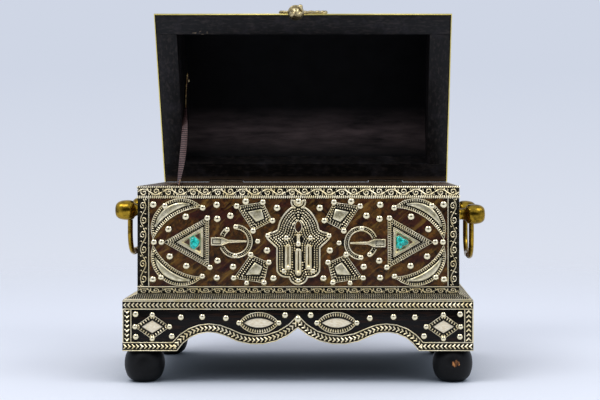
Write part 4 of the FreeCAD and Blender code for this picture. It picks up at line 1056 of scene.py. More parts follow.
# The middle of each stone and half its width and height in millimetres, and how far its corners stand out.
stones = [((-97.0, 129.3), (4.4, 5.8), 0.12), ((96.0, 129.7), (5.3, 5.3), 0.26)]
face_y = ground_y + 0.1 * mm


def nugget(middle, half, corners):
    """A tumbled stone that bulges to the front: three-cornered as far as its corners stand out."""
    x, z = middle
    verts = []
    rings, sides = 8, 24
    for ring in range(rings):
        lean = math.pi / 2 * ring / rings
        y = face_y - stone_rise * math.sin(lean)**0.8
        for k in range(sides):
            turn = math.tau * k / sides
            reach = math.cos(lean)**0.7 * (1 + corners * math.cos(3 * turn) * math.cos(lean))
            across, up = half[0] * reach * math.cos(turn), half[1] * reach * math.sin(turn)
            p = Vector(((x + across) * mm, y, (z + up) * mm))
            lump = noise.noise(p / stone_lump) * lump_height * min(1.0, 0.4 + ring / 3)
            verts.append(p + Vector((p.x - x * mm, -2 * mm, p.z - z * mm)).normalized() * lump)
    return verts, skin(rings, sides) + [tuple(range((rings - 1) * sides, rings * sides))]


shapes = [(Matrix.Identity(4), nugget(*stone)) for stone in stones]
nuggets = new_piece("turquoise_nuggets", gather(shapes), turquoise, crease=80)
settle(nuggets, "case", "turquoise", "turquoise_stones")
collar_steps = 36
collars = []
for (x, z), half, corners in stones:
    ring = []
    for k in range(collar_steps):
        turn = math.tau * k / collar_steps
        reach = 1.04 + corners * math.cos(3 * turn)
        across, up = half[0] * reach * math.cos(turn), half[1] * reach * math.sin(turn)
        ring.append(Vector(((x + across) * mm, face_y, (z + up) * mm)))
    collars.append(laid(turns["front"], ring, closed=True))
collar = grow("stone_collars", collars, wires, Radius=collar_radius, Sides=6, Finish=plain_silver)
settle(collar, "case", "silver_plate")

# Brooches
# A ring brooch of cast silver on each side: an open ring with a dotted middle between two raised edges.
# Small nails hold the ring down, and a pin with a grooved, bottle-shaped head lies across it.
ring_edge = 0.62 * mm
outer_inset, bore_inset = 0.75 * mm, 0.65 * mm
ring_dot_pitch = 1.8 * mm
pin_ease = 0.4 * mm
pin_edge = 0.6 * mm
pin_groove = 1.75 * mm
groove_shade_radius = 0.5 * mm
arc_steps = 180
refinish(dark_silver, "brooch_rings")


def within(point, loop):
    """Whether a point of a front face lies inside an outline."""
    inside = False
    for a, b in zip(loop, loop[1:] + loop[:1]):
        if (a.z > point.z) != (b.z > point.z):
            if point.x < a.x + (b.x - a.x) * (point.z - a.z) / (b.z - a.z):
                inside = not inside
    return inside


def arcs(centre, radius, loops):
    """The parts of a circle that lie on metal, as runs of points."""
    runs, run = [], []
    for k in range(arc_steps + 1):
        turn = math.tau * (k + arc_steps / 2) / arc_steps
        p = centre + Vector((math.cos(turn), 0, math.sin(turn))) * radius
        if any(within(p, loop) for loop in loops):
            run.append(p)
        else:
            runs.append(run)
            run = []
    return [r for r in runs + [run] if len(r) > 3]


ring_edges, ring_dots = [], []
ring_loops = [found[0] for found in front_outlines("brooch_rings", turns["front"])]
for side in (-1, 1):
    loops = [loop for loop in ring_loops if loop[0].x * side > 0]
    corners = [p for loop in loops for p in loop]
    lowest, highest = min(corners, key=lambda p: p.z), max(corners, key=lambda p: p.z)
    radius = (highest.z - lowest.z) / 2
    centre = Vector((lowest.x, lowest.y, (lowest.z + highest.z) / 2))
    bore = min((p - centre).length for p in corners)
    for reach, lines in ((radius - outer_inset, ring_edges), ((radius + bore) / 2, ring_dots),
                         (bore + bore_inset, ring_edges)):
        lines += [laid(turns["front"], run) for run in arcs(centre, reach, loops)]
edges = grow("brooch_edges", ring_edges, wires, Radius=ring_edge, Sides=8, Finish=bright_silver)
settle(edges, "case", "silver_plate")
dots = grow("brooch_dots", ring_dots, marks, Pitch=ring_dot_pitch, Mark=dot, Uneven=0.1,
            Finish=bright_silver)
settle(dots, "case", "silver_plate")
pins = eased("brooch_pins_filed", "brooch_pins", pin_ease, plain_silver)
settle(pins, "case", "silver_plate", "brooch_pins")


def inset(loop, distance):
    """An outline moved inwards by the same distance all round."""
    moved = []
    for i, p in enumerate(loop):
        before, after = (p - loop[i - 1]).normalized(), (loop[(i + 1) % len(loop)] - p).normalized()
        inward = Vector((-(before + after).z, 0, (before + after).x)).normalized()
        moved.append(p + inward * distance / max(0.5, math.cos(before.angle(after) / 2)))
    return moved


# The grooves are not cut: a dark wire along each stands for it as painted shade.
pin_lines, groove_shade_paths = [], []
for loops in front_outlines("brooch_pins", turns["front"]):
    pin = loops[0]
    middle = (min(p.z for p in pin) + max(p.z for p in pin)) / 2
    pin_lines.append(laid(turns["front"], inset(pin, pin_edge), closed=True))
    head = [p for p in pin if abs(p.z - middle) > pin_groove + pin_edge]
    groove_shade_paths.append(laid(turns["front"], inset(head, pin_groove), closed=True))
groove_shade = grow("brooch_pin_grooves", groove_shade_paths, wires, Radius=groove_shade_radius, Sides=6, Finish=black_silver)
settle(groove_shade, "case", "silver_plate")
edges = grow("brooch_pin_edges", pin_lines, wires, Radius=pin_edge, Sides=8, Finish=bright_silver)
settle(edges, "case", "silver_plate")

# Hand
# A hamsa plate of silver that points down, nailed on, with a raised wire outline and rows of chased dashes.
# Long loops stand on its fingers, and a turned drop hangs below the almond-shaped opening.
dash_rows = 13
# The first row's distance from the edge, and from row to row, in millimetres.
dash_first, dash_step = 2.5, 2.3
dash_pitch = 2.1 * mm
dash_clearance = 1.1 * mm
row_grain = 0.6 * mm
row_break = 2 * mm
level_with = 0.1 * mm
outline_radius = 0.85 * mm
almond_radius = 0.45 * mm
loop_radius = 1.3 * mm
loop_inset = 0.9 * mm
loop_sink = 0.3 * mm
ball_rise, ball_lift = 0.6 * mm, 2.2 * mm
finger_area = 80 * mm * mm
refinish(dark_silver, "hand_plate")
dash_line = [flat(-0.8, 0), flat(0, 0), flat(0.8, 0)]
dash = punch("dash_punch", [ridge(dash_line, width=1.3 * mm, height=0.55 * mm)])
hand_loops = front_outlines("hand_plate", turns["front"])[0]
hand_edge = hand_loops[0]
hand_y = hand_edge[0].y
level_loops = [loop for loop in hand_loops[1:] if abs(loop[0].y - hand_y) < level_with]
openings = [loop for loop in level_loops if loop_area(loop) < 0]
raised = [loop for loop in hand_loops if loop[0].y < hand_y - level_with]


def inset_rows(loop, distance, keep_off):
    """Runs of a line inside an outline at a distance from it, left out near anything raised."""
    dense, last = [], Vector((loop[-1].z - loop[0].z, 0, loop[0].x - loop[-1].x)).normalized()
    for a, b in zip(loop, loop[1:] + loop[:1]):
        inward = Vector((a.z - b.z, 0, b.x - a.x)).normalized()
        if last.x * inward.z - last.z * inward.x < -0.05:
            fan = max(2, round(last.angle(inward) * distance / row_grain))
            dense += [a + last.lerp(inward, k / fan).normalized() * distance for k in range(fan)]
        steps = max(1, round((b - a).length / row_grain))
        dense += [a.lerp(b, (k + 0.5) / steps) + inward * distance for k in range(steps)]
        last = inward
    runs, run = [], []
    for p in dense:
        clear = apart(p, loop) > distance * 0.98 and not any(
            within(p, other) or apart(p, other) < dash_clearance for other in keep_off)
        if clear and within(p, loop) and (not run or (p - run[-1]).length < row_break):
            run.append(p)
        else:
            runs.append(run)
            run = []
    return [r for r in runs + [run] if len(r) > 2]


dashes = []
for k in range(dash_rows):
    for run in inset_rows(hand_edge, (dash_first + dash_step * k) * mm, openings):
        dashes.append(laid(turns["front"], run))
chased = grow("hand_dashes", dashes, marks, Pitch=dash_pitch, Mark=dash, Uneven=0.2, Finish=bright_silver)
settle(chased, "case", "silver_plate")
outline = laid(turns["front"], finer(hand_edge), closed=True)
wire = grow("hand_outline_wire", [outline], wires, Radius=outline_radius, Sides=8, Finish=bright_silver)
settle(wire, "case", "silver_plate")
almond = max(openings, key=lambda loop: max(p.z for p in loop))
outline = laid(turns["front"], finer(almond), closed=True)
wire = grow("almond_wire", [outline], wires, Radius=almond_radius, Sides=8, Finish=bright_silver)
settle(wire, "case", "silver_plate")

# Radius and height in millimetres of the ball in the foot of each loop, and of the drop under the almond.
ball_outline = [(0.2, -2.2), (1.7, -1.3), (2.2, 0), (1.7, 1.4), (0.2, 3.0)]
drop_outline = [(0.3, 0.0), (2.0, 0.6), (2.8, 2.4), (2.4, 4.2), (1.6, 5.4), (1.9, 6.6), (1.6, 8.0),
                (2.0, 9.6), (3.0, 11.2), (2.6, 12.2), (0.3, 12.5)]
ball = turning([(r * mm, h * mm) for r, h in smooth_line(ball_outline, 3)], 16)
drop = turning([(r * mm, h * mm) for r, h in smooth_line(drop_outline, 3)], 20)
loop_steps = 24
loop_wires, drops = [], []
fingers = [loop for loop in raised if loop_area(loop) > finger_area]
for loop in fingers:
    middle = sum(loop, Vector()) / len(loop)
    foot, head = min(p.z for p in loop), max(p.z for p in loop)
    bend = max(p.x for p in loop) - middle.x - loop_inset
    ring = []
    for k in range(loop_steps):
        turn = math.tau * (k + 0.5) / loop_steps
        end = head - bend - loop_inset if math.sin(turn) > 0 else foot + bend + loop_inset
        across, up = bend * math.cos(turn), bend * math.sin(turn)
        ring.append(Vector((middle.x + across, loop[0].y + loop_sink, end + up)))
    loop_wires.append(laid(turns["front"], ring, closed=True))
    drops.append((Matrix.Translation((middle.x, hand_y - ball_rise, foot + ball_lift)), ball))
wire = grow("finger_loops", loop_wires, wires, Radius=loop_radius, Sides=12, Finish=bright_silver)
settle(wire, "case", "silver_plate")
stem = next(loop for loop in raised if 0 < loop_area(loop) < finger_area)
drops.append((Matrix.Translation((0, hand_y, min(p.z for p in stem))), drop))
settle(new_piece("hand_drops", gather(drops), bright_silver), "case", "silver_plate")
drive_nails("front_nail_heads", "front_nails", "case")

# Handle posts
# Turned brass posts on the ends of the case: a flange, a waisted neck and a round-nosed head.
# Square tangs go through the wall and are clenched over plates inside.
post_reach = 50 * mm
clench_half = 4.5
clench_rise = 1.8
# Radius and height in millimetres, from the wall out.
post_outline = [(7.6, -0.4), (7.6, 1.0), (6.6, 2.0), (5.3, 4.0), (5.4, 7.0), (6.4, 9.3), (8.2, 10.6),
                (9.4, 13.0), (9.65, 16.5), (9.35, 20.5), (8.2, 24.6), (5.6, 27.3), (1.0, 28.0)]

# Polished brass: deep yellow and glossy, clouded brown where it has tarnished.
brass, tree, shader, place = new_finish("polished_brass", Metallic=1.0)
tarnish = add(tree, "ShaderNodeTexNoise",
              {"Vector": place, "Scale": 1 / (7 * mm), "Detail": 6.0, "Roughness": 0.65})
dulled = add(tree, "ShaderNodeMapRange", {0: tarnish.outputs[0], 1: 0.42, 2: 0.72})
golden = add(tree, "ShaderNodeMix", {0: dulled.outputs[0], 6: linear("#b08d2c"), 7: linear("#3d310f")},
             data_type="RGBA")
gloss = add(tree, "ShaderNodeMapRange", {0: tarnish.outputs[0], 1: 0.3, 2: 0.7, 3: 0.1, 4: 0.3})
tree.links.new(golden.outputs[2], shader.inputs["Base Color"])
tree.links.new(gloss.outputs[0], shader.inputs["Roughness"])

bails = {"left_handle": "left_bail", "right_handle": "right_bail"}
joints = {j["child"]: j for j in frame["joints"]}


def clench_plate():
    """A small pillowed square plate, as the tang's end is hammered over inside."""
    verts = []
    for half, height in ((clench_half, 0), (clench_half, clench_rise / 2),
                         (clench_half * 0.75, clench_rise)):
        verts += [flat(x * half, y * half) + Vector((0, 0, height * mm))
                  for x, y in ((-1, -1), (1, -1), (1, 1), (-1, 1))]
    return verts, capped(3, 4)


wall_inside = -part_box("case_left_board")[1].x
half_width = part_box("front_strips")[1].x
post_shape = turning([(r * mm, h * mm) for r, h in smooth_line(post_outline, 4)], 40)
post_shapes = []
for child in bails:
    height = joints[child]["pos_m"][2]
    side = 1 if joints[child]["pos_m"][0] > 0 else -1
    out = Matrix.Rotation(side * math.pi / 2, 4, "Y")
    inward = Matrix.Rotation(-side * math.pi / 2, 4, "Y")
    for y in (-post_reach, post_reach):
        post_shapes.append((Matrix.Translation((side * half_width, y, height)) @ out, post_shape))
        post_shapes.append((Matrix.Translation((side * wall_inside, y, height)) @ inward, clench_plate()))
posts = new_piece("turned_posts", gather(post_shapes), brass, crease=50)
settle(posts, "case", "brass", "handle_posts")

# Bail handles
# Brass bars bent to a wide U, with their ends turned out into the posts and a thicker grip in the middle.
# They hang down at rest and swing up to carry the box.
bar_radius = 2.5 * mm
grip_radius = 3.4 * mm
grip_half = 14 * mm
grip_end = 1.5 * mm
# How far each leg is from the middle, and the radii of the bends at its foot and into the post.
leg = 37.1 * mm
corner = 20 * mm
eye = 3.7 * mm


def tube(points, radii, sides):
    """A closed round bar along points, with its own radius at each."""
    verts = []
    normal = None
    for i, p in enumerate(points):
        run = (points[min(i + 1, len(points) - 1)] - points[max(i - 1, 0)]).normalized()
        if normal is None:
            normal = run.orthogonal().normalized()
        normal = (normal - run * normal.dot(run)).normalized()
        across = run.cross(normal)
        for k in range(sides):
            turn = math.tau * k / sides
            verts.append(p + (normal * math.cos(turn) + across * math.sin(turn)) * radii[i])
    return verts, capped(len(points), sides)


def quarter(centre, radius, start, end, x):
    """Points of a bend in the YZ plane."""
    angles = [math.radians(start + (end - start) * k / 8) for k in range(9)]
    return [Vector((x, centre[0] + radius * math.cos(a), centre[1] + radius * math.sin(a))) for a in angles]


for body, node in bails.items():
    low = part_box(node)[0]
    x, z = joints[body]["pos_m"][0], joints[body]["pos_m"][2]
    bottom = low.z + grip_radius
    half = [Vector((x, low.y + 0.2 * mm, z))] + quarter((-leg - eye, z - eye), eye, 90, 0, x)
    half += quarter((-leg + corner, bottom + corner), corner, 180, 270, x)
    half.append(Vector((x, -grip_half, bottom)))
    half.append(Vector((x, -grip_half + grip_end, bottom)))
    half += [Vector((x, -grip_half * k / 6, bottom)) for k in (4, 2)]
    points = half + [Vector((p.x, -p.y, p.z)) for p in reversed(half)]
    radii = []
    for p in points:
        on_grip = abs(p.y) < grip_half - 1 * mm and p.z < bottom + 1 * mm
        radii.append(grip_radius if on_grip else bar_radius)
    bail = new_piece(node + "_bent", tube(points, radii, 20), brass, crease=60)
    settle(bail, body, "brass", node)

# Hinges
# Two pressed leaf hinges of iron on the rear faces, each with a pin through its knuckles.
# They have gone nearly as dark as the wood that they lie on.

# Browned iron: dull and dark, with rusty patches.
brown_iron, tree, shader, place = new_finish("browned_iron", Metallic=1.0, Roughness=0.5)
rust = add(tree, "ShaderNodeTexNoise", {"Vector": place, "Scale": 1 / (2.5 * mm), "Detail": 5.0})
browned = add(tree, "ShaderNodeMix", {0: rust.outputs[0], 6: linear("#1d1a17"), 7: linear("#4a4036")},
              data_type="RGBA")
tree.links.new(browned.outputs[2], shader.inputs["Base Color"])
refinish(brown_iron, "hinge_case_leaves", "hinge_lid_leaves", "hinge_pins")

# Lid
# Rails, ends and staves make a vault, painted black inside; its outside is veneered and framed in strip.
# The lid stands open, so everything that is drawn for it shut is turned back about the hinge.
lid_joint = joints["lid"]
hinge_at = Vector(lid_joint["pos_m"])
shut_turn = Matrix.Rotation(math.radians(lid_joint["range_deg"][0]), 4, Vector(lid_joint["axis"]))
shut = Matrix.Translation(hinge_at) @ shut_turn @ Matrix.Translation(-hinge_at)
# Heights between which a band of painted light on the staves fades in and out again.
lit_band_foot, lit_band_top = (0.211, 0.232), (0.264, 0.238)
refinish(case_paint, "lid_rear_rail")

# Soot-black distemper inside the vault: matt, so that it swallows the light, with painted light low down.
soot, tree, shader, place = new_finish("soot_black_distemper_and_painted_light", Roughness=0.8, Specular_IOR_Level=0.15)
dusty = add(tree, "ShaderNodeTexNoise", {"Vector": place, "Scale": 1 / (20 * mm), "Detail": 6.0})
sooty = add(tree, "ShaderNodeMix", {0: dusty.outputs[0], 6: linear("#040405"), 7: linear("#151517")},
            data_type="RGBA")
# Painted light: a pale band, broken by streaks along the staves, greys the black low on the vault.
level = add(tree, "ShaderNodeSeparateXYZ", {0: place})
under = add(tree, "ShaderNodeMapRange", {0: level.outputs["Z"], 1: lit_band_top[0], 2: lit_band_top[1]})
over = add(tree, "ShaderNodeMapRange", {0: level.outputs["Z"], 1: lit_band_foot[0], 2: lit_band_foot[1]})
lit_band = add(tree, "ShaderNodeMath", {0: under.outputs[0], 1: over.outputs[0]}, operation="MULTIPLY")
streak_stretch = add(tree, "ShaderNodeMapping", {"Vector": place, "Scale": (0.2, 1.0, 1.0)})
streaks = add(tree, "ShaderNodeTexNoise", {"Vector": streak_stretch.outputs[0], "Scale": 1 / (9 * mm), "Detail": 8.0,
                                           "Roughness": 0.62})
band_streaks = add(tree, "ShaderNodeMapRange", {0: streaks.outputs[0], 1: 0.32, 2: 0.74, 3: 0.12})
painted_light = add(tree, "ShaderNodeMath", {0: lit_band.outputs[0], 1: band_streaks.outputs[0]}, operation="MULTIPLY")
greyed = add(tree, "ShaderNodeMix", {0: painted_light.outputs[0], 6: sooty.outputs[2], 7: linear("#67595a")},
             data_type="RGBA")
tree.links.new(greyed.outputs[2], shader.inputs["Base Color"])
refinish(soot, "lid_staves")
for board, paint in (("lid_front_rail", case_paint), ("lid_left_end", end_paint),
                     ("lid_right_end", end_paint)):
    settle(eased(board + "_planed", board, board_ease, paint), "lid", "black_wood", board)

# Strips of the lid
# The same pressed strip runs round the rim of the lid and over both ends of its vault; its cut edge is
# yellow. Round-headed nails are driven in rows along the front and over the vault.
lid_lean = math.radians(19)
lid_upright = Matrix.Rotation(lid_lean, 4, "X")
bow_steps = 40
rim_edge = 1.3 * mm

# Cut brass: bright yellow where it was filed, a little browned between.
edge_brass, tree, shader, place = new_finish("cut_brass_edge", Metallic=1.0, Roughness=0.35)
wear = add(tree, "ShaderNodeTexNoise", {"Vector": place, "Scale": 1 / (14 * mm), "Detail": 5.0})
yellow = add(tree, "ShaderNodeMix", {0: wear.outputs[0], 6: linear("#fff0a0"), 7: linear("#d2b750")},
             data_type="RGBA")
tree.links.new(yellow.outputs[2], shader.inputs["Base Color"])

refinish(dark_silver, "lid_strips")
pressed = [], [], [], []
for side, turn in turns.items():
    facing = (lid_upright if side in ("front", "rear") else Matrix.Identity(4)) @ turn @ shut
    loops = [found[0] for found in front_outlines("lid_strips", facing)]
    for kept, new in zip(pressed, scroll_paths(loops, facing)):
        kept.extend(new)


def bow_paths():
    """The middle line over each end of the vault, with the direction that it faces at every point."""
    staves = [shut @ v.co for v in frame["nodes"]["lid_staves"].data.vertices]
    foot = max(staves, key=lambda p: p.y)
    stave_crown = max(p.z for p in staves)
    rise = stave_crown - foot.z
    centre = stave_crown - (foot.y**2 + rise**2) / (2 * rise)
    reach = math.atan2(foot.y, foot.z - centre)
    crown = max(p.z for p in strip_points)
    top = [p.x for p in strip_points if p.z > crown - 0.5 * mm and p.x > 0]
    bows = []
    for x in (-(min(top) + max(top)) / 2, (min(top) + max(top)) / 2):
        angles = [-reach + 2 * reach * k / bow_steps for k in range(bow_steps + 1)]
        outs = [Vector((0, math.sin(a), math.cos(a))) for a in angles]
        line = [Vector((x, 0, centre)) + out * (crown - centre) for out in outs]
        bows.append((line, outs, (max(top) - min(top)) / 2))
    return bows


back = shut.inverted()
strip_points = [shut @ v.co for v in frame["nodes"]["lid_strips"].data.vertices]
for points, outs, half in bow_paths():
    facing = [back.to_3x3() @ o for o in outs]
    line = [back @ p for p in points]
    pressed[0].append((line, facing, Vector((1, half * 2 / scroll_band, 1)), False))
    across = Vector((half - strip_edge, 0, 0))
    for edge in ([p - across for p in line], [p + across for p in line]):
        pressed[3].append((edge, facing, Vector((1, 1, 1)), False))
press_strips("lid", "lid", *pressed)
rim_low = Vector([min(p[i] for p in strip_points) for i in range(3)])
rim_high = Vector([max(p[i] for p in strip_points) for i in range(3)])
rim = [(rim_low.x, rim_high.y), (rim_low.x, rim_low.y), (rim_high.x, rim_low.y), (rim_high.x, rim_high.y)]
rim = [back @ Vector((x, y, rim_low.z + rim_edge)) for x, y in rim]
rim_path = rim, Vector((0, 0, 1)), Vector((1, 1, 1)), False
wire = grow("lid_rim_edge", [rim_path], wires, Radius=rim_edge, Sides=8, Finish=edge_brass)
settle(wire, "lid", "silver_strip")
drive_nails("lid_nail_heads", "lid_nails", "lid")

# Pull
# A cast brass plate, oval with two ears, on the lid's front; a bud-shaped drop swings between the ears.
# A twisted rope is cast round the plate; the bud is fluted, with a band and a small curl at its foot.
plate_ease = 0.5 * mm
rope_turns = 9
rope_radius = 1.15 * mm
strand_swing = 0.9 * mm
rope_rise = 1.4 * mm
# Radius and distance from the pivot in millimetres.
bud_outline = [(1.7, 0.0), (1.9, 14.0), (2.6, 17.5), (3.4, 19.0), (3.0, 20.2), (5.4, 22.4), (7.7, 26.8),
               (8.3, 31.0), (7.8, 35.4), (5.7, 39.4), (2.6, 41.6), (0.5, 42.2)]
# The back is flattened, so that the drop hangs clear of the hand's raised outline when the lid is shut.
bud_back = 0.84
flutes = 3
flute_depth = 0.24
flute_from, flute_over = 22 * mm, 4 * mm
flute_lead = 9 * mm
band_steps = 17
band_reach, band_height = 7.2 * mm, 37.4 * mm
curl_place = Vector((4.6 * mm, 6.4 * mm, 34 * mm))
eye_outline = [(1.2, -4.9), (1.2, -2.5), (2.3, -2.45), (2.3, 2.45), (1.2, 2.5), (1.2, 4.9)]
curl_outline = [(0.3, -2.4), (2.0, -1.4), (2.5, 0), (2.0, 1.4), (0.3, 2.4)]

# Worn pale brass: rubbed nearly white on the round parts, with brown grime in the hollows.
old_brass, tree, shader, place = new_finish("worn_pale_brass", Metallic=1.0)
wear = add(tree, "ShaderNodeTexNoise",
           {"Vector": place, "Scale": 1 / (3 * mm), "Detail": 6.0, "Roughness": 0.7})
grime = add(tree, "ShaderNodeMapRange", {0: wear.outputs[0], 1: 0.45, 2: 0.72})
pale = add(tree, "ShaderNodeMix", {0: grime.outputs[0], 6: linear("#cdbb8c"), 7: linear("#5a4a2c")},
           data_type="RGBA")
gloss = add(tree, "ShaderNodeMapRange", {0: wear.outputs[0], 1: 0.3, 2: 0.7, 3: 0.25, 4: 0.5})
tree.links.new(pale.outputs[2], shader.inputs["Base Color"])
tree.links.new(gloss.outputs[0], shader.inputs["Roughness"])

plate = eased("pull_plate_cast", "pull_plate", plate_ease, old_brass)
settle(plate, "lid", "pale_brass", "pull_plate")
facing = lid_upright @ shut
oval = max((loops[0] for loops in front_outlines("pull_plate", facing)), key=loop_area)
middle = sum(oval, Vector()) / len(oval)
cord = finer(oval)
strands = []
for phase in (0, math.pi):
    strand = []
    for k, p in enumerate(cord):
        lay = phase + math.tau * rope_turns * k / len(cord)
        out = (p - middle).normalized() * math.cos(lay) * strand_swing
        proud = Vector((0, -rope_rise - math.sin(lay) * strand_swing, 0))
        strand.append(p.lerp(middle, 0.08) + out + proud)
    strands.append(laid(facing, strand, closed=True))
rope = grow("pull_plate_rope", strands, wires, Radius=rope_radius, Sides=8, Finish=old_brass)
settle(rope, "lid", "pale_brass")
pull_joint = joints["pull"]
pivot = shut @ Vector(pull_joint["pos_m"])
drop_mesh = frame["nodes"]["pull_drop"].data
tip = min((shut @ v.co for v in drop_mesh.vertices), key=lambda p: p.z)
bud_axis = tip - pivot
stretch = bud_axis.length / (bud_outline[-1][1] * mm)
bud = turning([(r * mm, h * mm * stretch) for r, h in smooth_line(bud_outline, 4)], 48)
for v in bud[0]:
    swell = min(1.0, max(0.0, (v.z - flute_from) / flute_over))
    wrapped = math.atan2(v.y, v.x) + (v.z - flute_from) / flute_lead
    flute = 1 - flute_depth * swell * (0.5 - 0.5 * math.cos(flutes * wrapped))**4
    v.x *= flute
    v.y *= flute * (bud_back if v.y < 0 else 1)
stand = Matrix.Translation(pivot) @ bud_axis.to_track_quat("Z", "Y").to_matrix().to_4x4()
pull_eye = turning([(r * mm, h * mm) for r, h in eye_outline], 24)
lying = Matrix.Translation(pivot) @ Matrix.Rotation(math.pi / 2, 4, "Y")
band, band_radii = [], []
for k in range(band_steps):
    turn = math.radians(15 + 9 * k)
    band.append(Vector((band_reach * math.cos(turn), band_reach * math.sin(turn), band_height * stretch)))
    band_radii.append((0.5 + 0.9 * math.sin(math.pi * (k + 1) / (band_steps + 1))) * mm)
curl = turning([(r * mm, h * mm) for r, h in smooth_line(curl_outline, 3)], 16)
tuck = Matrix.Translation((curl_place.x, curl_place.y, curl_place.z * stretch))
shapes = [(back @ stand, bud), (back @ stand, tube(band, band_radii, 10)), (back @ stand @ tuck, curl),
          (back @ lying, pull_eye)]
pull_drop = new_piece("pull_drop_cast", gather(shapes), old_brass, crease=45)
settle(pull_drop, "pull", "pale_brass", "pull_drop")

# Strap
# A narrow strip of ribbed leather, tacked half way back to the left wall of the case and to the lid.
# The open lid draws it tight; it has taken a twist, and painted highlight is on one edge near its ends.
strap_width = 6.6 * mm
strap_thickness = 1.3 * mm
strap_steps = 64
strap_sides = 6
strap_twist = math.radians(85)
strap_rib_pitch = 2.2 * mm
strap_ribs, strap_rib_depth = 60 / math.tau, 0.16
highlight_to, highlight_from = 0.27, 0.74
refinish(old_brass, "strap_case_tack", "strap_lid_tack")

# Creased leather: dark red-brown, with its ribs rubbed paler and its grain drawn coarse enough to show.
leather, tree, shader, place = new_finish("creased_leather", Roughness=0.55, IOR=1.45)
grain = add(tree, "ShaderNodeTexNoise",
            {"Vector": place, "Scale": 1 / (2.6 * mm), "Detail": 6.0, "Roughness": 0.7})
mauve = add(tree, "ShaderNodeMix", {0: grain.outputs[0], 6: linear("#140909"), 7: linear("#40282a")},
            data_type="RGBA")
ribs = add(tree, "ShaderNodeTexWave",
           {"Vector": place, "Scale": 0.314 / strap_rib_pitch, "Distortion": 2.0}, bands_direction="Z")
crest = add(tree, "ShaderNodeMapRange", {0: ribs.outputs["Fac"], 1: 0.6, 2: 0.95, 4: 0.5})
ribbed = add(tree, "ShaderNodeMix", {0: crest.outputs[0], 6: mauve.outputs[2], 7: linear("#a5807c")},
             data_type="RGBA")
bump = add(tree, "ShaderNodeBump", {"Height": grain.outputs[0], "Distance": 0.4 * mm, "Strength": 0.6})
tree.links.new(ribbed.outputs[2], shader.inputs["Base Color"])
tree.links.new(bump.outputs[0], shader.inputs["Normal"])

# Painted highlight along one edge of the leather: pale gold in patches, brown between.
edge_highlight, tree, shader, place = new_finish("painted_edge_highlight", Roughness=0.4, IOR=1.45)
patchy = add(tree, "ShaderNodeTexNoise",
             {"Vector": place, "Scale": 1 / (5 * mm), "Detail": 4.0, "Roughness": 0.7})
left = add(tree, "ShaderNodeMapRange", {0: patchy.outputs[0], 1: 0.46, 2: 0.54})
gold = add(tree, "ShaderNodeMix", {0: left.outputs[0], 6: linear("#6b4322"), 7: linear("#ffdf98")},
           data_type="RGBA")
tree.links.new(gold.outputs[2], shader.inputs["Base Color"])


def strap_shape():
    """A flat strip along the CAD strap's middle line, turned on edge half way up, with small cross ribs."""
    mesh = frame["nodes"]["lid_strap"].data
    low = min((v.co for v in mesh.vertices), key=lambda p: p.z)
    high = max((v.co for v in mesh.vertices), key=lambda p: p.z)
    length = Vector((0, high.y - low.y, high.z - low.z))
    run, half = length.normalized(), length.length / 2
    side = Vector((0, -run.z, run.y))
    x = strap_low.x + 0.8 * mm
    middle = Vector((x, (strap_low.y + strap_high.y) / 2, (strap_low.z + strap_high.z) / 2))
    bow = strap_high.x - strap_low.x - 1.6 * mm
    ring = [(-1, 0), (-0.85, 1), (0.45, 1), (1, 0), (0.45, -1), (-0.85, -1)]
    verts = []
    for k in range(strap_steps + 1):
        share = k / strap_steps
        sag = math.sin(math.pi * min(max((share - 0.08) / 0.84, 0), 1))**2
        p = middle + run * half * (2 * share - 1) * 0.985 + Vector((bow * 0.8 * sag, 0, 0))
        angle = strap_twist * sag
        wide = side * math.cos(angle) + Vector((1, 0, 0)) * math.sin(angle)
        thick = wide.cross(run).normalized()
        rib = 1 + strap_rib_depth * math.sin(share * math.tau * strap_ribs)
        half_wide = strap_width / 2 * (1 if share < 0.985 else 0.55)
        verts += [p + wide * a * half_wide + thick * b * strap_thickness / 2 * rib for a, b in ring]
    return verts, capped(strap_steps + 1, strap_sides)


strap_low, strap_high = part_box("lid_strap")
strap = new_piece("leather_strap", strap_shape(), leather, crease=50)
strap.data.materials.append(edge_highlight)
# Faces along one edge near the ends take the painted highlight.
strap_faces = strap_sides * strap_steps
for side in range(2, strap_faces, strap_sides):
    if side > highlight_from * strap_faces or side < highlight_to * strap_faces:
        strap.data.polygons[side].material_index = 1
        strap.data.polygons[side + 1].material_index = 1
work = bmesh.new()
work.from_mesh(strap.data)
bmesh.ops.recalc_face_normals(work, faces=work.faces)
work.to_mesh(strap.data)
work.free()
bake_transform(strap)
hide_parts("lid_strap")

# The punches have done their work and are no pieces of the box.
for mark in punches:
    bpy.data.objects.remove(mark)

# Floor and room
# A plain paper floor that fades into the background, in a light tent: pale walls, bright all round but for
# the dark opening that the camera looks through. Dark work stays dark and silver stays bright.
floor_half = 4.0
shade_reach = 0.16
fade_from, fade_to = 0.35, 1.7
floor_mesh = bpy.data.meshes.new("floor")
floor_corners = [(x * floor_half, y * floor_half, 0) for x, y in ((-1, -1), (1, -1), (1, 1), (-1, 1))]
floor_mesh.from_pydata(floor_corners, [], [(0, 1, 2, 3)])
floor = bpy.data.objects.new("floor", floor_mesh)
bpy.context.collection.objects.link(floor)

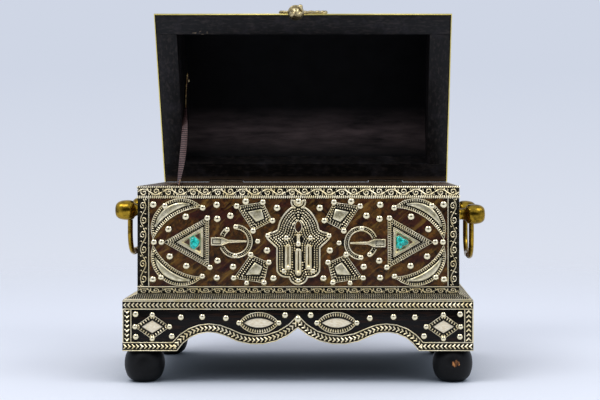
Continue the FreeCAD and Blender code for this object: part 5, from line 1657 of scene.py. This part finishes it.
# Paper: matt and pale blue-white, greyer where the box keeps the light off it.
paper, tree, shader, place = new_finish("pale_paper", Roughness=0.9, Specular_IOR_Level=0.2)
sky = add(tree, "ShaderNodeAmbientOcclusion", {"Distance": shade_reach})
clear = add(tree, "ShaderNodeMapRange", {0: sky.outputs["AO"], 1: 0.1, 2: 0.75})
shaded = add(tree, "ShaderNodeMix", {0: clear.outputs[0], 6: linear("#8494a4"), 7: linear("#e4e9f4")},
             data_type="RGBA")
tree.links.new(shaded.outputs[2], shader.inputs["Base Color"])
away = add(tree, "ShaderNodeVectorMath", {0: place}, operation="LENGTH")
near = add(tree, "ShaderNodeMapRange", {0: away.outputs["Value"], 1: fade_to, 2: fade_from},
           interpolation_type="SMOOTHSTEP")
tree.links.new(near.outputs[0], shader.inputs["Alpha"])
floor_mesh.materials.append(paper)

world = bpy.data.worlds.new("light_tent")
bpy.context.scene.world = world
world.use_nodes = True
tree = world.node_tree
tree.nodes.clear()
look = add(tree, "ShaderNodeTexCoord").outputs["Generated"]
axes = add(tree, "ShaderNodeSeparateXYZ", {0: look})
opening = add(tree, "ShaderNodeMapRange", {0: axes.outputs["Y"], 1: -0.8, 2: -0.94, 3: 1.0, 4: 0.06},
              interpolation_type="SMOOTHSTEP")
overhead = add(tree, "ShaderNodeMapRange", {0: axes.outputs["Z"], 1: -0.1, 2: 0.9, 3: 0.62, 4: 1.0})
glow = add(tree, "ShaderNodeMath", {0: opening.outputs[0], 1: overhead.outputs[0]}, operation="MULTIPLY")
lit = add(tree, "ShaderNodeBackground", {"Color": linear("#f2f4fa"), "Strength": glow.outputs[0]})
height = add(tree, "ShaderNodeMapRange", {0: axes.outputs["Z"], 1: -0.12, 2: 0.06})
wall = add(tree, "ShaderNodeMix", {0: height.outputs[0], 6: linear("#e0e5f1"), 7: linear("#cfd6e5")},
           data_type="RGBA")
ray = add(tree, "ShaderNodeLightPath").outputs
depth = add(tree, "ShaderNodeMath", {0: ray["Is Camera Ray"], 1: opening.outputs[0]}, operation="MAXIMUM")
shown = add(tree, "ShaderNodeBackground", {"Color": wall.outputs[2], "Strength": depth.outputs[0]})
mirrored = add(tree, "ShaderNodeMath", {0: ray["Is Glossy Ray"], 1: ray["Is Transmission Ray"]},
               operation="MAXIMUM")
seen = add(tree, "ShaderNodeMath", {0: ray["Is Camera Ray"], 1: mirrored.outputs[0]}, operation="MAXIMUM")
both = add(tree, "ShaderNodeMixShader", {0: seen.outputs[0], 1: lit.outputs[0], 2: shown.outputs[0]})
add(tree, "ShaderNodeOutputWorld", {"Surface": both.outputs[0]})


def soft_box(name, place, target, size, power):
    """A rectangular lamp that faces its target."""
    lamp = bpy.data.lights.new(name, "AREA")
    lamp.shape = "RECTANGLE"
    lamp.size, lamp.size_y = size
    lamp.energy = power
    light = bpy.data.objects.new(name, lamp)
    light.location = place
    light.rotation_euler = (Vector(target) - Vector(place)).to_track_quat("-Z", "Y").to_euler()
    bpy.context.collection.objects.link(light)


soft_box("over_left", place=(-0.7, -0.7, 1.4), target=(0, 0, 0.15), size=(0.8, 0.6), power=7)
soft_box("over_right", place=(0.9, -0.5, 1.3), target=(0, 0, 0.15), size=(0.8, 0.6), power=5)

# Camera
# Level, square to the front, a little to the right; the shift puts the box where the photograph has it.
focal_pixels = 1370
image_width = 600
vanishing_point = (356, 154)
image_middle = (300, 200)
camera_place = (53.7 * mm, -1370.8 * mm, 212 * mm)
lens = bpy.data.cameras.new("camera")
lens.sensor_width = 36
lens.lens = focal_pixels / image_width * lens.sensor_width
lens.shift_x = (image_middle[0] - vanishing_point[0]) / image_width
lens.shift_y = (vanishing_point[1] - image_middle[1]) / image_width
lens.clip_end = 50
camera = bpy.data.objects.new("camera", lens)
camera.location = camera_place
camera.rotation_euler = (math.pi / 2, 0, 0)
bpy.context.collection.objects.link(camera)
bpy.context.scene.camera = camera
bpy.context.scene.view_settings.view_transform = "Standard"
